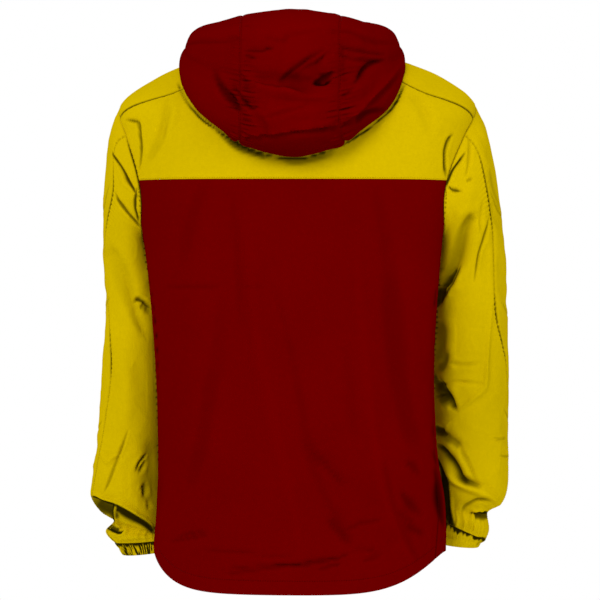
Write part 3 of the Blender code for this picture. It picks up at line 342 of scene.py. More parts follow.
    (2.4, 0, 0, 1.1, 34, -148, 17, -151, 0, -151, -17, -149, -34, -144, -54, -138),
    (5.5, 0, 0, 0.6, 20, -153, -6, -154, -31, -149, -54, -141),
    (2, 0, 0, 1.1, -45, -140, -62, -133, -77, -126, -88, -119, -99, -112, -111, -104),
    (2, 0, 0, 1.1, -105, -108, -119, -96, -131, -86, -142, -72, -149, -58, -155, -44),
)

# The same from in front, where the wearer's left is still +X.
CREASES_IN_FRONT = (
    # sleeves
    (10, -5.0, 1.6, 0, 272, -292, 238, -328, 206, -352),
    (11, 3.4, 1.2, 0, 268, -328, 236, -360, 203, -385),
    (3, -1.8, 1.0, 0.46, 262, -300, 236, -318, 216, -332),
    (10, -4.4, 1.0, 0, 205, -300, 231, -262, 246, -228),
    (3, -1.6, 0.8, 0.37, 212, -280, 232, -248, 244, -214),
    (7, -2.6, 0, 0, 206, -398, 226, -424, 252, -440),
    (2.8, -1.4, 0.8, 0.32, 278, -372, 262, -402, 240, -418),
    (9, 2.0, 0, 0, 258, -398, 246, -438, 242, -484, 248, -524),
    (10, -4.6, 1.4, 0, 206, -575, 235, -604, 268, -612),
    (3, 2.2, -1.0, 0, 203, -590, 224, -611, 252, -626),
    (2.6, -1.6, 1.0, 0.48, 276, -556, 262, -580, 258, -604),
    (2.6, -1.4, 0, 0.37, 210, -542, 228, -560, 234, -584),
    (11, -5.2, 1.6, 0, -288, -286, -248, -322, -210, -346),
    (11, 3.4, 1.2, 0, -284, -326, -246, -356, -208, -378),
    (3, -1.8, 1.0, 0.46, -280, -304, -252, -326, -224, -340),
    (10, -4.4, 1.0, 0, -207, -296, -236, -256, -252, -222),
    (3, -1.6, 0.8, 0.37, -216, -274, -238, -240, -250, -206),
    (7, -2.4, 0, 0, -212, -392, -236, -420, -266, -430),
    (2.8, -1.4, 0.8, 0.32, -296, -388, -276, -412, -248, -426),
    (9, 2.0, 0, 0, -268, -402, -256, -446, -254, -490, -262, -526),
    (10, -4.8, 1.4, 0, -212, -560, -246, -592, -281, -598),
    (3, 2.2, -1.0, 0, -208, -578, -232, -602, -262, -612),
    (2.6, -1.6, 1.0, 0.48, -290, -544, -276, -566, -270, -592),
    # yokes
    (9, -2.6, 1.0, 0, 176, -66, 184, -104, 178, -146, 164, -182),
    (3, -1.4, 0.8, 0.27, 204, -92, 210, -128, 202, -164),
    (8, 1.6, 0, 0, 120, -48, 132, -92, 126, -136),
    (8, -2.4, -1.0, 0, -182, -68, -190, -108, -182, -150, -168, -184),
    (3, -1.4, -0.8, 0.27, -208, -96, -214, -132, -206, -168),
    (8, 1.6, 0, 0, -124, -50, -136, -94, -130, -140),
    # body
    (12, -3.0, 1.0, 0, 58, -560, 84, -600, 126, -636),
    (10, -2.2, 1.0, 0, -52, -596, -84, -630, -122, -650),
    (14, -2.8, 1.0, 0, 110, -600, 140, -646, 170, -668),
    (14, -2.6, -1.0, 0, -116, -566, -150, -618, -180, -648),
    (20, 2.0, 0, 0, -120, -240, -132, -400, -116, -540),
    (22, -2.2, 0, 0, -62, -280, -70, -440, -52, -610),
    (22, 1.8, 0, 0, 22, -260, 14, -410, 30, -560),
    (20, -2.0, 0, 0, 112, -250, 124, -400, 112, -540),
    (2.8, -1.2, 0.8, 0.22, -150, -684, -108, -690, -64, -686),
    (2.8, -1.2, 0.8, 0.22, 44, -690, 86, -692, 134, -682),
    # hood
    (6, -2.6, 1.0, 0, 38, 8, 58, 20, 72, 32),
    (6, -2.4, -1.0, 0, -36, 10, -56, 22, -72, 30),
)

# And from the wearer's left and right: y, z, y, z ...
CREASES_AT_LEFT = (
    (10, -4.2, 1.4, 0, 28, -196, -6, -224, -48, -236),
    (3, -1.6, 0.8, 0.37, 22, -176, -10, -206, -44, -214),
    (11, 3.0, 0, 0, 4, -262, -38, -284, -84, -282),
    (9, -3.6, 1.0, 0, -6, -326, -48, -346, -92, -338),
    (3, -1.6, 0, 0.37, -12, -348, -46, -366, -80, -362),
    (10, 2.2, 0, 0, -18, -400, -44, -446, -50, -498),
    (9, -2.6, 0, 0, -84, -410, -92, -460, -86, -512),
    (10, -4.6, 1.4, 0, -30, -566, -68, -590, -112, -586),
    (3, -1.8, 1.0, 0.46, -34, -542, -70, -560, -104, -552),
    (4, 2.0, -1.0, 0, -40, -606, -78, -620, -116, -612),
    (8, -2.4, 0, 0, 30, -88, 12, -122, -10, -150),
)
CREASES_AT_RIGHT = (
    (10, -4.0, 1.4, 0, 30, -206, 0, -232, -44, -246),
    (3, -1.6, 0.8, 0.37, 26, -186, -4, -214, -40, -224),
    (11, 3.0, 0, 0, 8, -270, -34, -292, -80, -290),
    (9, -3.8, 1.0, 0, 0, -332, -42, -356, -88, -350),
    (3, -1.6, 0, 0.37, -8, -356, -44, -376, -78, -370),
    (10, 2.2, 0, 0, -14, -404, -40, -452, -44, -500),
    (9, -2.6, 0, 0, -82, -416, -90, -466, -84, -508),
    (10, -4.8, 1.4, 0, -28, -548, -66, -574, -110, -570),
    (3, -1.8, 1.0, 0.46, -32, -526, -68, -546, -102, -538),
    (4, 2.0, -1.0, 0, -38, -588, -76, -604, -114, -598),
    (8, -2.4, 0, 0, 32, -92, 14, -128, -8, -156),
)

# How finely each patch is divided: the CAD panel's own steps, times these.
BODY_ACROSS, BODY_UP, FRONT_BODY_ACROSS, FRONT_YOKE_ACROSS, FRONT_YOKE_UP = 5, 9, 4, 7, 6
BACK_YOKE_ACROSS, BACK_YOKE_UP = 8, 12
SLEEVE_FINE = {"back": (10, 19, 9), "front": (5, 11, 6)}  # round it, down its upper and lower parts
HOOD_SIDE_COLUMNS, HOOD_CENTRE_COLUMNS, HOOD_ROWS_FINE = 105, 62, 165
EDGE_STEP = 0.4  # the first row in from a seam, as a share of a whole one
SHOULDER_STEPS, NECK_STEPS, ZIP_STEPS = 9, 10, 2
SIDE_STEPS, LOWER_ARMHOLE_STEPS, BACK_ARMHOLE_STEPS, FRONT_ARMHOLE_STEPS = 10, 5, 6, 12
ARMHOLE_EASE, SLEEVE_UPPER_STEPS, SLEEVE_LOWER_STEPS, SLEEVE_BREAK = 2.5, 14, 12, 8

# How the cloth is drawn up beside each kind of seam: the groove's depth, how far the
# puckers break it up, the puckers' height, how far from the seam they stand highest,
# their length, and how much painted shade the groove and the valleys between the puckers take.
SEAMS = {
    "plain": (0.0005, 0.3, 0.0003, 0.005, 0.009, 0.35, 0.00),
    "yoke": (0.0004, 0.1, 0.0001, 0.004, 0.012, 0.05, 0.00),
    "armhole": (0.0012, 0.3, 0.0005, 0.005, 0.008, 0.95, 0.00),
    "shoulder": (0.0010, 0.2, 0.0003, 0.005, 0.012, 0.70, 0.00),
    "sleeve": (0.0014, 1.0, 0.0006, 0.005, 0.0068, 0.95, 0.15),
    "hood": (0.0005, 0.6, 0.0021, 0.008, 0.0065, 0.12, 0.50),
    "neck": (0.0006, 0.0, 0.0006, 0.006, 0.010, 0.30, 0.00),
    "edge": (0.0000, 0.0, 0.0003, 0.010, 0.014, 0.00, 0.00),
    "hem": (0.0000, 0.0, 0.0005, 0.012, 0.016, 0.00, 0.00),
    "cuff": (0.0000, 0.0, 0.0014, 0.009, 0.009, 0.00, 0.00),
    "zip": (0.0004, 0.0, 0.0004, 0.006, 0.012, 0.20, 0.00),
}
SEAM_SHARP = 0.0017  # half the width of a seam's groove
# How much a groove's painted shade is strengthened, and the most painted shade in grooves and valleys.
GROOVE_DARKER, GROOVE_DARKEST, VALLEY_DARKEST = 1.3, 0.95, 0.8
VALLEY_PULL, VALLEY_BELOW = 0.5, 0.2  # valleys take painted shade where a seam is drawn up harder, and this deep
SEAM_LIP = 0.35  # how high the cloth stands beside a groove, as a share of its depth


# Curves and ramps.


def cubic(t, start, end, leaving, arriving):
    """Between two values, with the slopes at which it leaves one and arrives at the other."""
    return (
        start * (2 * t**3 - 3 * t**2 + 1) + leaving * (t**3 - 2 * t**2 + t)
        + end * (3 * t**2 - 2 * t**3) + arriving * (t**3 - t**2)
    )


def along(values, at):
    """The smooth curve through evenly spaced values, read at fractional places."""
    values, last = np.asarray(values, float), len(values) - 1
    at = np.clip(np.asarray(at, float), 0.0, last)
    start = np.minimum(at.astype(int), last - 1)
    slopes = np.gradient(values, axis=0)
    t = (at - start).reshape(at.shape + (1,) * (values.ndim - 1))
    return cubic(t, values[start], values[start + 1], slopes[start], slopes[start + 1])


def finer(line, steps):
    """A smooth line through the points of a coarse one."""
    return along(line, np.linspace(0, len(line) - 1, steps + 1))


def read(at, run, values):
    """Rows of values at distances along a run, straight between the rows it has."""
    return np.stack([np.interp(at, run, column) for column in values.T], axis=-1)


def lengths(grid, axis):
    """How far each point lies along its own row or column."""
    step = np.linalg.norm(np.diff(grid, axis=axis), axis=-1)
    start = np.zeros_like(np.take(step, [0], axis=axis))
    return np.concatenate([start, np.cumsum(step, axis=axis)], axis=axis)


def rising(value, start, over):
    """0 up to a start, and 1 from so much further on."""
    return np.clip((value - start) / over, 0, 1)


def unit(vectors):
    return vectors / np.maximum(np.linalg.norm(vectors, axis=-1, keepdims=True), 1e-12)


# The surfaces: torso, armholes, sleeves and hood.

TORSO = np.array(TORSO_ROWS).T
HOOD = np.array(HOOD_ROWS)
HOOD = np.concatenate([HOOD[:, 1:2], HOOD, HOOD[:, -2:-1]], axis=1)  # both ends mirrored


def torso(angle, ring):
    """A point of the torso: angle 0 is the centre back, 90 the wearer's left."""
    (left, right, middle_y, back_y, front_y, back_round, front_round,
     side_z, back_z, front_z, hold, twist, lean) = (along(column, ring) for column in TORSO)
    plain, turned = np.radians(angle), np.radians(angle + twist)
    s, c = np.sin(turned), np.cos(turned)
    x = (left - right) / 2 + (left + right) / 2 * s
    back = (back_y - middle_y) * (1 - back_round * s**2)
    front = (middle_y - front_y) * (1 - front_round * s**2)
    y = middle_y + np.where(c > 0, back, front) * c
    held = 1 - np.abs(np.sin(plain)) ** hold
    z = side_z + (np.where(np.cos(plain) > 0, back_z, front_z) - side_z) * held
    return np.stack([x, y, z + lean * np.sin(plain) ** 3], axis=-1)


def armhole(side, around):
    """(angle, ring) of the torso at a place round the armhole: 0 its top, 90 its back."""
    phase = np.radians(around)
    down = (1 - np.cos(phase)) / 2
    ring = SHOULDER_TIP + (UNDERARM - SHOULDER_TIP) * down
    middle = ARMHOLE_TOP_ANGLE + (ARMHOLE_FOOT_ANGLE - ARMHOLE_TOP_ANGLE) * down
    back = ARMHOLE_BACK_SWING[side] * (1 - ARMHOLE_BACK_SCOOP[side] * np.cos(phase))
    swing = np.where(np.sin(phase) > 0, back, ARMHOLE_FRONT_SWING)
    return side * (middle - swing * np.sin(phase)), ring


def oval(side, section, s, c):
    """A point of a sleeve's section: s counts towards its back, c towards its outer end."""
    inner_x, inner_z, outer_x, outer_z, middle_y, depth = section
    x = (inner_x + outer_x) / 2 + (outer_x - inner_x) / 2 * c
    z = (inner_z + outer_z) / 2 + (outer_z - inner_z) / 2 * c
    return np.stack([side * x, middle_y + depth * s, z], axis=-1)


def sleeve(side, rows):
    """A sleeve's surface: around 0 is its outer side and 90 its back; section counts down it."""

    def ring(around, section):
        turn = np.radians(around)
        return oval(side, [along(column, section) for column in zip(*rows)], np.sin(turn), np.cos(turn))

    def surface(around, section):
        left = np.clip(1 - section / ARMHOLE_EASE, 0, 1)[..., None]
        hole = torso(*armhole(side, around))
        return ring(around, section) + (hole - ring(around, 0 * section)) * left**2 * (3 - 2 * left)

    return surface


def hood(around, station):
    """The hood's surface: around 0 is the centre front, 90 the wearer's left, 180 the back."""
    around, station = np.broadcast_arrays(around, station)
    place = 1 + (180 - np.abs(180 - around)) / HOOD_PLACE
    profile = np.moveaxis(along(HOOD, station), -2, 0)
    start = np.clip(place.astype(int), 1, len(HOOD[0]) - 3)
    before, here, there, after = (
        np.take_along_axis(profile, (start + k)[None, ..., None], axis=0)[0] for k in (-1, 0, 1, 2)
    )
    formed = cubic((place - start)[..., None], here, there, (there - before) / 2, (after - here) / 2)
    out, up = np.moveaxis(formed, -1, 0)
    turn = np.radians(around)
    seam = torso(180.0 - around, np.full(np.shape(turn), NECK))
    return seam + np.stack([out * (np.sin(turn) + HOOD_LEAN), -out * np.cos(turn), up], axis=-1)


def outward(surface, u, v, reach_v, facing):
    """Unit normals of a surface, turned so that facing makes them point out of the garment."""
    step_u, step_v = 0.5, 0.02
    v = np.clip(v, step_v, reach_v - step_v)
    across = surface(u + step_u, v) - surface(u - step_u, v)
    return unit(facing * np.cross(across, surface(u, v + step_v) - surface(u, v - step_v)))


# Panels as patches between runs of (u, v) places.


def level(start, end, ring, steps):
    return np.stack([np.linspace(start, end, steps + 1), np.full(steps + 1, float(ring))], axis=-1)


def hole_run(side, start, end, steps, turn=0.0):
    angle, ring = armhole(side, np.linspace(start, end, steps + 1))
    return np.stack([angle + turn, ring], axis=-1)


def shoulder_run(side, steps, turn=0.0):
    """The shoulder seam from the armhole up to the neck, as (angle, ring) rows."""
    angle, ring = armhole(side, SHOULDER_SEAM_AT)
    knots = np.array([(side * float(angle), float(ring)), *SHOULDER_SEAM])
    return finer(knots, steps) * (side, 1.0) + (turn, 0.0)


def front_angle(x, ring):
    """The torso angle at which its front is this far to the wearer's left."""
    left, right = along(TORSO[0], ring), along(TORSO[1], ring)
    return 180.0 - np.degrees(np.arcsin((x - (left - right) / 2) / ((left + right) / 2)))


def body_side(angle, meets, turn=0.0):
    """A body panel's side seam, and the armhole above it as far as the yoke seam."""
    side, steps = math.copysign(1, angle), SIDE_STEPS * BODY_UP
    rings = np.linspace(HEM, UNDERARM, steps + 1)
    foot = side * ARMHOLE_FOOT_ANGLE
    seam = np.stack([angle + (foot - angle) * rings / UNDERARM + turn, rings], axis=-1)
    return np.concatenate([seam, hole_run(side, 180, meets, LOWER_ARMHOLE_STEPS * BODY_UP // 2, turn)[1:]])


def edged(count):
    """Places along a run of so many steps, with one more close to each end."""
    return np.concatenate([[0, EDGE_STEP], np.arange(1, count), [count - EDGE_STEP, count]])


def patch(foot, head, first, last):
    """The grid of places that four runs bound, with a close row along every edge."""
    across, up = edged(len(foot) - 1), edged(len(first) - 1)
    foot, head = (read(across, np.arange(len(run)), run) for run in (foot, head))
    first, last = (read(up, np.arange(len(run)), run) for run in (first, last))
    s, t = (across / across[-1])[None, :, None], (up / up[-1])[:, None, None]
    rows = (1 - t) * foot[None] + t * head[None]
    columns = (1 - s) * first[:, None] + s * last[:, None]
    corners = (1 - t) * ((1 - s) * foot[0] + s * foot[-1]) + t * ((1 - s) * head[0] + s * head[-1])
    return rows + columns - corners


# Creases, puckers and the unevenness of the cloth.

TAKES_CREASES = (0.08, 0.5)  # how squarely cloth faces a view to take its creases, and over what rise
SHOWS_DARK = (-0.02, 0.12)  # the same for their painted shade
SIDE_VIEW_SHARE, SIDE_VIEW_MORE, SIDE_VIEW_OVER = 0.25, 0.35, 0.6  # how much of a side view's creases
CREASE_STEPS = 59  # steps along a crease's line
NARROW_CREASE = 0.0039  # creases narrower than this are drawn up more sharply
NARROW_TALLER, WIDE_TALLER = 1.9, 1.5
NARROW_DARK_OUT_TO, WIDE_DARK_OUT_TO = 0.72, 0.9  # how far out a crease's painted shade reaches, in half widths
LIP_HEIGHT, LIP_OUT_AT = 0.22, 2.0  # the cloth beside a crease, as a share of it and in half widths
DARK_EARLY = 1.45  # a crease's painted shade or highlight is full before the crease is fully deep
# Along its line a crease is this wide at its ends, and so much wider at its middle; its
# width and height wander by a share, in so many waves; its height grows from its ends.
ENDS_WIDE, MIDDLE_WIDER, WIDTH_WANDERS, WIDTH_WAVES = 0.75, 0.5, 0.15, 9
HEIGHT_WANDERS, HEIGHT_WAVES, ENDS_CUT, ENDS_POWER = 0.18, 13, 0.02, 0.6
# the most painted shade a point takes
DARKEST = 0.985


def drawn(points, view):
    """Where points fall on the middle plane, seen level from one side."""
    closer = 1 - (points @ np.array(view)) / EYE_DISTANCE
    sideways, middle = (points[..., 0], EYE_X) if view[1] else (points[..., 1], 0.0)
    return np.stack([middle + (sideways - middle) / closer, EYE_Z + (points[..., 2] - EYE_Z) / closer], -1)


def creased(points, normals, rows, view):
    """How far one view's creases move each point along its normal, and their painted shade and highlight."""
    turned = normals @ np.array(view)
    facing, seen = rising(turned, *TAKES_CREASES), rising(turned, *SHOWS_DARK)
    aside = SIDE_VIEW_SHARE + SIDE_VIEW_MORE * rising(np.abs(normals[..., 1]), 0, SIDE_VIEW_OVER)
    place = drawn(points, view)
    moved, shade, painted_highlight = (np.zeros(points.shape[:-1]) for _ in range(3))
    for number, (half_width, height, tilt, dark, *line) in enumerate(rows):
        half_width = half_width * MM
        taller, out_to = NARROW_TALLER, NARROW_DARK_OUT_TO
        if half_width >= NARROW_CREASE:
            taller, out_to = WIDE_TALLER, WIDE_DARK_OUT_TO
        fine = finer(np.array(line).reshape(-1, 2) * MM, CREASE_STEPS)
        near = np.all((place > fine.min(0) - 3 * half_width) & (place < fine.max(0) + 3 * half_width), -1)
        near &= seen > 0
        if not near.any():
            continue
        away = place[near][:, None] - fine
        distance = np.linalg.norm(away, axis=-1)
        nearest = np.argmin(distance, axis=-1)
        each = np.arange(len(nearest))
        heading, offset = np.gradient(fine, axis=0)[nearest], away[each, nearest]
        side = np.sign(heading[:, 0] * offset[:, 1] - heading[:, 1] * offset[:, 0])
        share = nearest / CREASE_STEPS
        wide = half_width * (ENDS_WIDE + MIDDLE_WIDER * np.sin(np.pi * share))
        wide = wide * (1 + WIDTH_WANDERS * np.sin(WIDTH_WAVES * share + number))
        off = side * distance[each, nearest] / wide
        taper = np.sin(np.pi * (share * (1 - 2 * ENDS_CUT) + ENDS_CUT)) ** ENDS_POWER
        taper = taper * (1 + HEIGHT_WANDERS * np.sin(HEIGHT_WAVES * share + 2 * number))
        hollow = np.exp(-(off**2)) - LIP_HEIGHT * np.exp(-((np.abs(off) - LIP_OUT_AT) ** 2))
        moved[near] += taper * (
            height * MM * taller * hollow + tilt * MM * taller * off * np.exp(-(off**2))
        )
        # Painted shade along a trough, or a painted highlight along a crest where dark is below 0.
        toned = np.clip(DARK_EARLY * taper, 0, 1) * np.exp(-((off / out_to) ** 4))
        tone = shade if dark > 0 else painted_highlight
        tone[near] = np.maximum(tone[near], toned * abs(dark))
    if view[1]:
        return moved * facing, np.clip((shade - painted_highlight) * seen, -1, DARKEST)
    return moved * (facing * aside), np.clip((shade - painted_highlight) * facing, -1, DARKEST)


DRIFT_CELLS, DRIFT_START = 64, 900.5  # the pattern's period, and a start that keeps places above 0


def drift(across, up, size, seed):
    """Smooth uneven waves between -1 and 1, of one size."""
    heights = np.random.default_rng(seed).uniform(-1, 1, (DRIFT_CELLS, DRIFT_CELLS))
    i, j = across / size + DRIFT_START, up / size + DRIFT_START
    i0, j0 = np.floor(i).astype(int), np.floor(j).astype(int)
    f, g = i - i0, j - j0
    f, g = f * f * (3 - 2 * f), g * g * (3 - 2 * g)
    corner = [[heights[(i0 + a) % DRIFT_CELLS, (j0 + b) % DRIFT_CELLS] for b in (0, 1)] for a in (0, 1)]
    low, high = (corner[0][b] * (1 - f) + corner[1][b] * f for b in (0, 1))
    return low * (1 - g) + high * g


BEND, BEND_SIZE, SLOW_SIZE = 0.4, 1.3, 1.6  # how the waves wander and how long they are, in sizes
RIDGE_HEIGHT, RIDGE_POWER, SET_BACK = 0.8, 4, 0.3


def rumpled(across, up, seed, size, height):
    """The slow unevenness of thin cloth, with a few soft ridges in it."""
    bent = across + BEND * size * drift(across, up, size * BEND_SIZE, seed + 3)
    slow = drift(bent, up, size * SLOW_SIZE, seed)
    ridge = (1 - np.abs(drift(bent, up, size, seed + 1))) ** RIDGE_POWER
    return height * (slow + RIDGE_HEIGHT * ridge - SET_BACK)


class Sides:
    """How far every point of a panel is from its four edges, and how far along each."""

    def __init__(self, grid):
        self.up, self.across = up, across = lengths(grid, 0), lengths(grid, 1)
        self.off = {"foot": up, "head": up[-1:] - up, "first": across, "last": across[:, -1:] - across}
        self.by = {"foot": across[:1], "head": across[-1:], "first": up[:, :1], "last": up[:, -1:]}
        self.by = {edge: np.broadcast_to(value, up.shape) for edge, value in self.by.items()}


# How unevenly puckers are spaced and over what length, the short wave among them, and how
# their height comes and goes.
UNEVEN_BY, UNEVEN_OVER, SHORT_HEIGHT, SHORT_LENGTH = 0.35, 3.1, 0.45, 0.57
PUCKER_MEAN, PUCKER_SWELL, SWELL_OVER = 0.65, 0.5, 4.3


def ripple(by, length, seed):
    """Short uneven waves along a seam."""
    stretch = by + UNEVEN_BY * length * drift(by, 0 * by, length * UNEVEN_OVER, seed)
    turn = 2 * np.pi * stretch / length
    wave = np.sin(turn) + SHORT_HEIGHT * np.sin(turn / SHORT_LENGTH + 1)
    return wave * (PUCKER_MEAN + PUCKER_SWELL * drift(by, 0 * by, length * SWELL_OVER, seed + 1))


def gathered(sides, seams, seed, points, strength=None):
    """How far the cloth beside its seams is moved by their grooves and puckers, and its painted shade there.
    """
    moved, shade = np.zeros(sides.up.shape), np.zeros(sides.up.shape)
    for number, (edge, kind) in enumerate(seams.items()):
        groove, dash, pucker, reach, length, dark, valley = SEAMS[kind]
        off, by = sides.off[edge], sides.by[edge]
        share = off / reach
        strong = (1.0 if strength is None else strength(edge, by, points)) * np.ones(by.shape)
        wave = ripple(by, length, seed + 7 * number)
        depth = np.exp(-((off / SEAM_SHARP) ** 2)) * np.clip(1 - dash * wave, 0, 2)
        depth = depth * np.minimum(strong, 1.0)
        moved -= groove * depth
        moved += strong * pucker * share * np.exp(1 - share) * wave
        moved += SEAM_LIP * groove * share * np.exp(1 - share)
        # Painted shade in the seam's groove and in the valleys between its puckers.
        shade = np.maximum(shade, np.clip(GROOVE_DARKER * dark * depth, 0, GROOVE_DARKEST))
        deep = valley * np.maximum(strong - VALLEY_PULL, 0) * rising(-wave, VALLEY_BELOW, 1)
        shade = np.maximum(shade, np.clip(deep * share * np.exp(1 - share), 0, VALLEY_DARKEST))
    return moved, shade


VIEWS = (
    ((0, 1, 0), CREASES_BEHIND), ((0, -1, 0), CREASES_IN_FRONT),
    ((1, 0, 0), CREASES_AT_LEFT), ((-1, 0, 0), CREASES_AT_RIGHT),
)
FREE_FROM_SEAM = 0.010  # creases reach their full height this far in from a panel's edges
GROOVE_SHOWS = 0.05  # a seam whose painted shade is stronger than this hides the painted highlight of crests that cross it


def worn(outer, normals, seams, seed, height, size, strength=None, held=None):
    """A panel's smooth form with its creases, puckers and unevenness, and their painted shade and highlight.
    """
    sides = Sides(outer)
    free = np.ones(outer.shape[:2])
    for edge in ("foot", "head", "first", "last"):
        free *= rising(sides.off[edge], 0, FREE_FROM_SEAM)
    free = free if held is None else free * held
    moved = rumpled(outer[..., 0] + outer[..., 1], outer[..., 2], seed, size, height)
    shade = np.zeros(outer.shape[:2])
    for view, rows in VIEWS:
        lift, dark = creased(outer, normals, rows, view)
        moved, shade = moved + lift, np.where(dark > 0, np.maximum(shade, dark), shade + dark)
    drawn_up, dark = gathered(sides, seams, seed, outer, strength)
    shaped = outer + normals * (moved * free + drawn_up)[..., None]
    return shaped, np.where(dark > GROOVE_SHOWS, np.maximum(shade, dark), shade)


# What the unevenness of each piece is drawn from.
SEEDS = {
    "back_body": 11, "back_yoke": 12, "front_yoke_left": 14, "front_yoke_right": 12, "front_body": 17,
    "sleeve_back_left": 22, "sleeve_front_left": 22, "sleeve_back_right": 20, "sleeve_front_right": 20,
    "cuff_left": 58, "cuff_right": 56, "hood_left": 31, "hood_centre": 31, "hood_right": 31,
}

# Cloth, stitches and their objects.

CLOTH_CORNER, TOOTH_CORNER = 60, 50  # edges sharper than this stay sharp, in degrees


def link(name, points, faces, finish):
    """One of the object's own pieces, which rides on the garment."""
    data = bpy.data.meshes.new(name)
    data.from_pydata(points.tolist(), [], faces)
    data.shade_smooth()
    data.materials.append(finish)
    made = bpy.data.objects.new(name, data)
    bpy.context.scene.collection.objects.link(made)
    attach(made, BODY)
    return made


def drawn_in(grid, closed):
    """The grid with its open edges drawn in along the cloth by half a seam gap."""
    grid = grid.copy()
    for turned in (grid,) if closed else (grid, grid.transpose(1, 0, 2)):
        first, last = unit(turned[1] - turned[0]), unit(turned[-2] - turned[-1])
        turned[0], turned[-1] = turned[0] + first * SEAM_GAP / 2, turned[-1] + last * SEAM_GAP / 2
    return grid


def shell_faces(rows, columns, closed):
    """The faces of two grids of points, back to back, and of the rims that join them."""
    count = rows * columns
    number = np.arange(count).reshape(rows, columns)
    rims = [np.concatenate([number[0], number[1:, -1], number[-1, -2::-1], number[-2::-1, 0]])]
    if closed:
        number = np.concatenate([number, number[:, :1]], axis=1)
        rims = [number[0], number[-1, ::-1]]
    faces = np.stack([number[:-1, :-1], number[:-1, 1:], number[1:, 1:], number[1:, :-1]], -1)
    faces = faces.reshape(-1, 4)
    strips = [np.stack([ring[1:], ring[:-1], ring[:-1] + count, ring[1:] + count], -1) for ring in rims]
    return np.concatenate([faces, faces[:, ::-1] + count, *strips])


def cloth(name, finish, outer, normals, wall=WALL, closed=False, shade=None):
    """A panel of cloth: its outer points, the same points one wall further in, and a rim."""
    outer = drawn_in(outer, closed)
    inner = outer - normals * np.broadcast_to(wall, outer.shape[:2])[..., None]
    rows, columns = outer.shape[:2]
    i, j = middle = rows // 2, columns // 2
    faced = np.cross(outer[i, j + 1] - outer[middle], outer[i + 1, j] - outer[middle])
    faces = shell_faces(rows, columns, closed)
    if not np.dot(faced, normals[middle]) > 0:
        faces = faces[:, ::-1]
    points = np.concatenate([outer.reshape(-1, 3), inner.reshape(-1, 3)])
    made = link(f"{name}_cloth", points, faces.tolist(), finish)
    made.data.set_sharp_from_angle(angle=math.radians(CLOTH_CORNER))
    sides = Sides(outer)
    flat = np.stack([sides.across, sides.up], -1).reshape(-1, 2)
    corners = np.zeros(len(made.data.loops), int)
    made.data.loops.foreach_get("vertex_index", corners)
    layer = made.data.uv_layers.new(name="cut")
    layer.data.foreach_set("uv", np.concatenate([flat, flat])[corners].ravel())
    # The painted shade (below 0 a painted highlight), kept on the outer points only.
    dark = np.zeros((2, rows * columns))
    if shade is not None:
        dark[0] = shade.ravel()
    made.data.attributes.new("shade", "FLOAT", "POINT").data.foreach_set("value", dark.ravel())
    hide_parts(name)
    return made


LEAST_FULL = 0.32  # a tapered panel fills at least this share of the oblong it is cut from


def declared(smooth):
    """Works out what size a panel's cloth was cut to, from its form without creases, and keeps nothing of
    it.
    """
    length, width = (float(lengths(smooth, axis).max()) for axis in (0, 1))
    crossed = np.cross(smooth[1:, 1:] - smooth[:-1, :-1], smooth[1:, :-1] - smooth[:-1, 1:])
    area = float(np.linalg.norm(crossed, axis=-1).sum() / 2)
    width = min(max(width, area / length), area / length / LEAST_FULL)


STITCH_LONG, STITCH_EVERY, STITCH_THICK = 0.0023, 0.0034, 0.00036
STITCH_ROUND = ((1, 0), (0, 1), (-1, 0), (0, -1))
# Where a stitch's tips and its two rings of corners lie along it, how high, and the corners.
STITCH_FORM = (
    (-1.0, 0.0, ((0, 0),)), (-0.62, 0.45, STITCH_ROUND), (0.62, 0.45, STITCH_ROUND), (1.0, 0.0, ((0, 0),)),
)
STITCH_CORNERS = 10
STITCH_FACES = (
    [(0, 1 + (k + 1) % 4, 1 + k) for k in range(4)]
    + [(1 + k, 1 + (k + 1) % 4, 5 + (k + 1) % 4, 5 + k) for k in range(4)]
    + [(9, 5 + k, 5 + (k + 1) % 4) for k in range(4)]
)


class Stitches:
    """Rows of short threads that lie on the cloth, gathered into one piece."""

    def __init__(self):
        self.points, self.faces, self.count = [], [], 0

    def row(self, outer, normals, edge, off):
        """A row of stitches so far in from one edge of a panel."""
        grids, away = (outer, normals), Sides(outer).off[edge]
        if edge in ("first", "last"):
            grids, away = [grid.transpose(1, 0, 2) for grid in grids], away.T
        if edge in ("head", "last"):
            grids, away = [grid[::-1] for grid in grids], away[::-1]
        line, up = (np.array([read(off, away[:, j], grid[:, j]) for j in range(away.shape[1])])
                    for grid in grids)
        run = lengths(line, 0)
        at = np.arange(STITCH_EVERY, run[-1] - STITCH_EVERY, STITCH_EVERY)
        start, end = (read(at + k * STITCH_LONG / 2, run, line) for k in (-1, 1))
        normal, ahead, middle = unit(read(at, run, up)), unit(end - start), (start + end) / 2
        wide = np.cross(ahead, normal)
        corners = []
        for place, lift, around in STITCH_FORM:
            centre = middle + ahead * STITCH_LONG / 2 * place + normal * STITCH_THICK * lift
            corners += [centre + wide * STITCH_THICK * a + normal * STITCH_THICK * b for a, b in around]
        self.points.append(np.stack(corners, 1).reshape(-1, 3))
        for _ in at:
            self.faces += [[self.count + corner for corner in face] for face in STITCH_FACES]
            self.count += STITCH_CORNERS

    def sewn(self, name, finish, slot):
        link(name, np.concatenate(self.points), self.faces, finish)


YELLOW_THREAD, RED_THREAD = Stitches(), Stitches()


def sew(name, made_of, smooth, normals, seams, uneven, rests_on, rows=(), held="hung",
        wall=WALL, strength=None, free=None, tone=None):
    """A whole panel from its smooth form: worn, cut and stitched.

    made_of is its finish, slot and thread; uneven the height and size of its
    unevenness; rows lists (edge, distance) for its rows of stitches; tone alters its
    painted shade.
    """
    finish, slot, thread = made_of
    shaped, shade = worn(smooth, normals, seams, SEEDS[name], *uneven, strength, free)
    shade = shade if tone is None else tone(shade)
    made = cloth(name, finish, shaped, normals, wall, shade=shade)
    declared(smooth)
    for edge, off in rows:
        thread.row(shaped, normals, edge, off)


# The body.

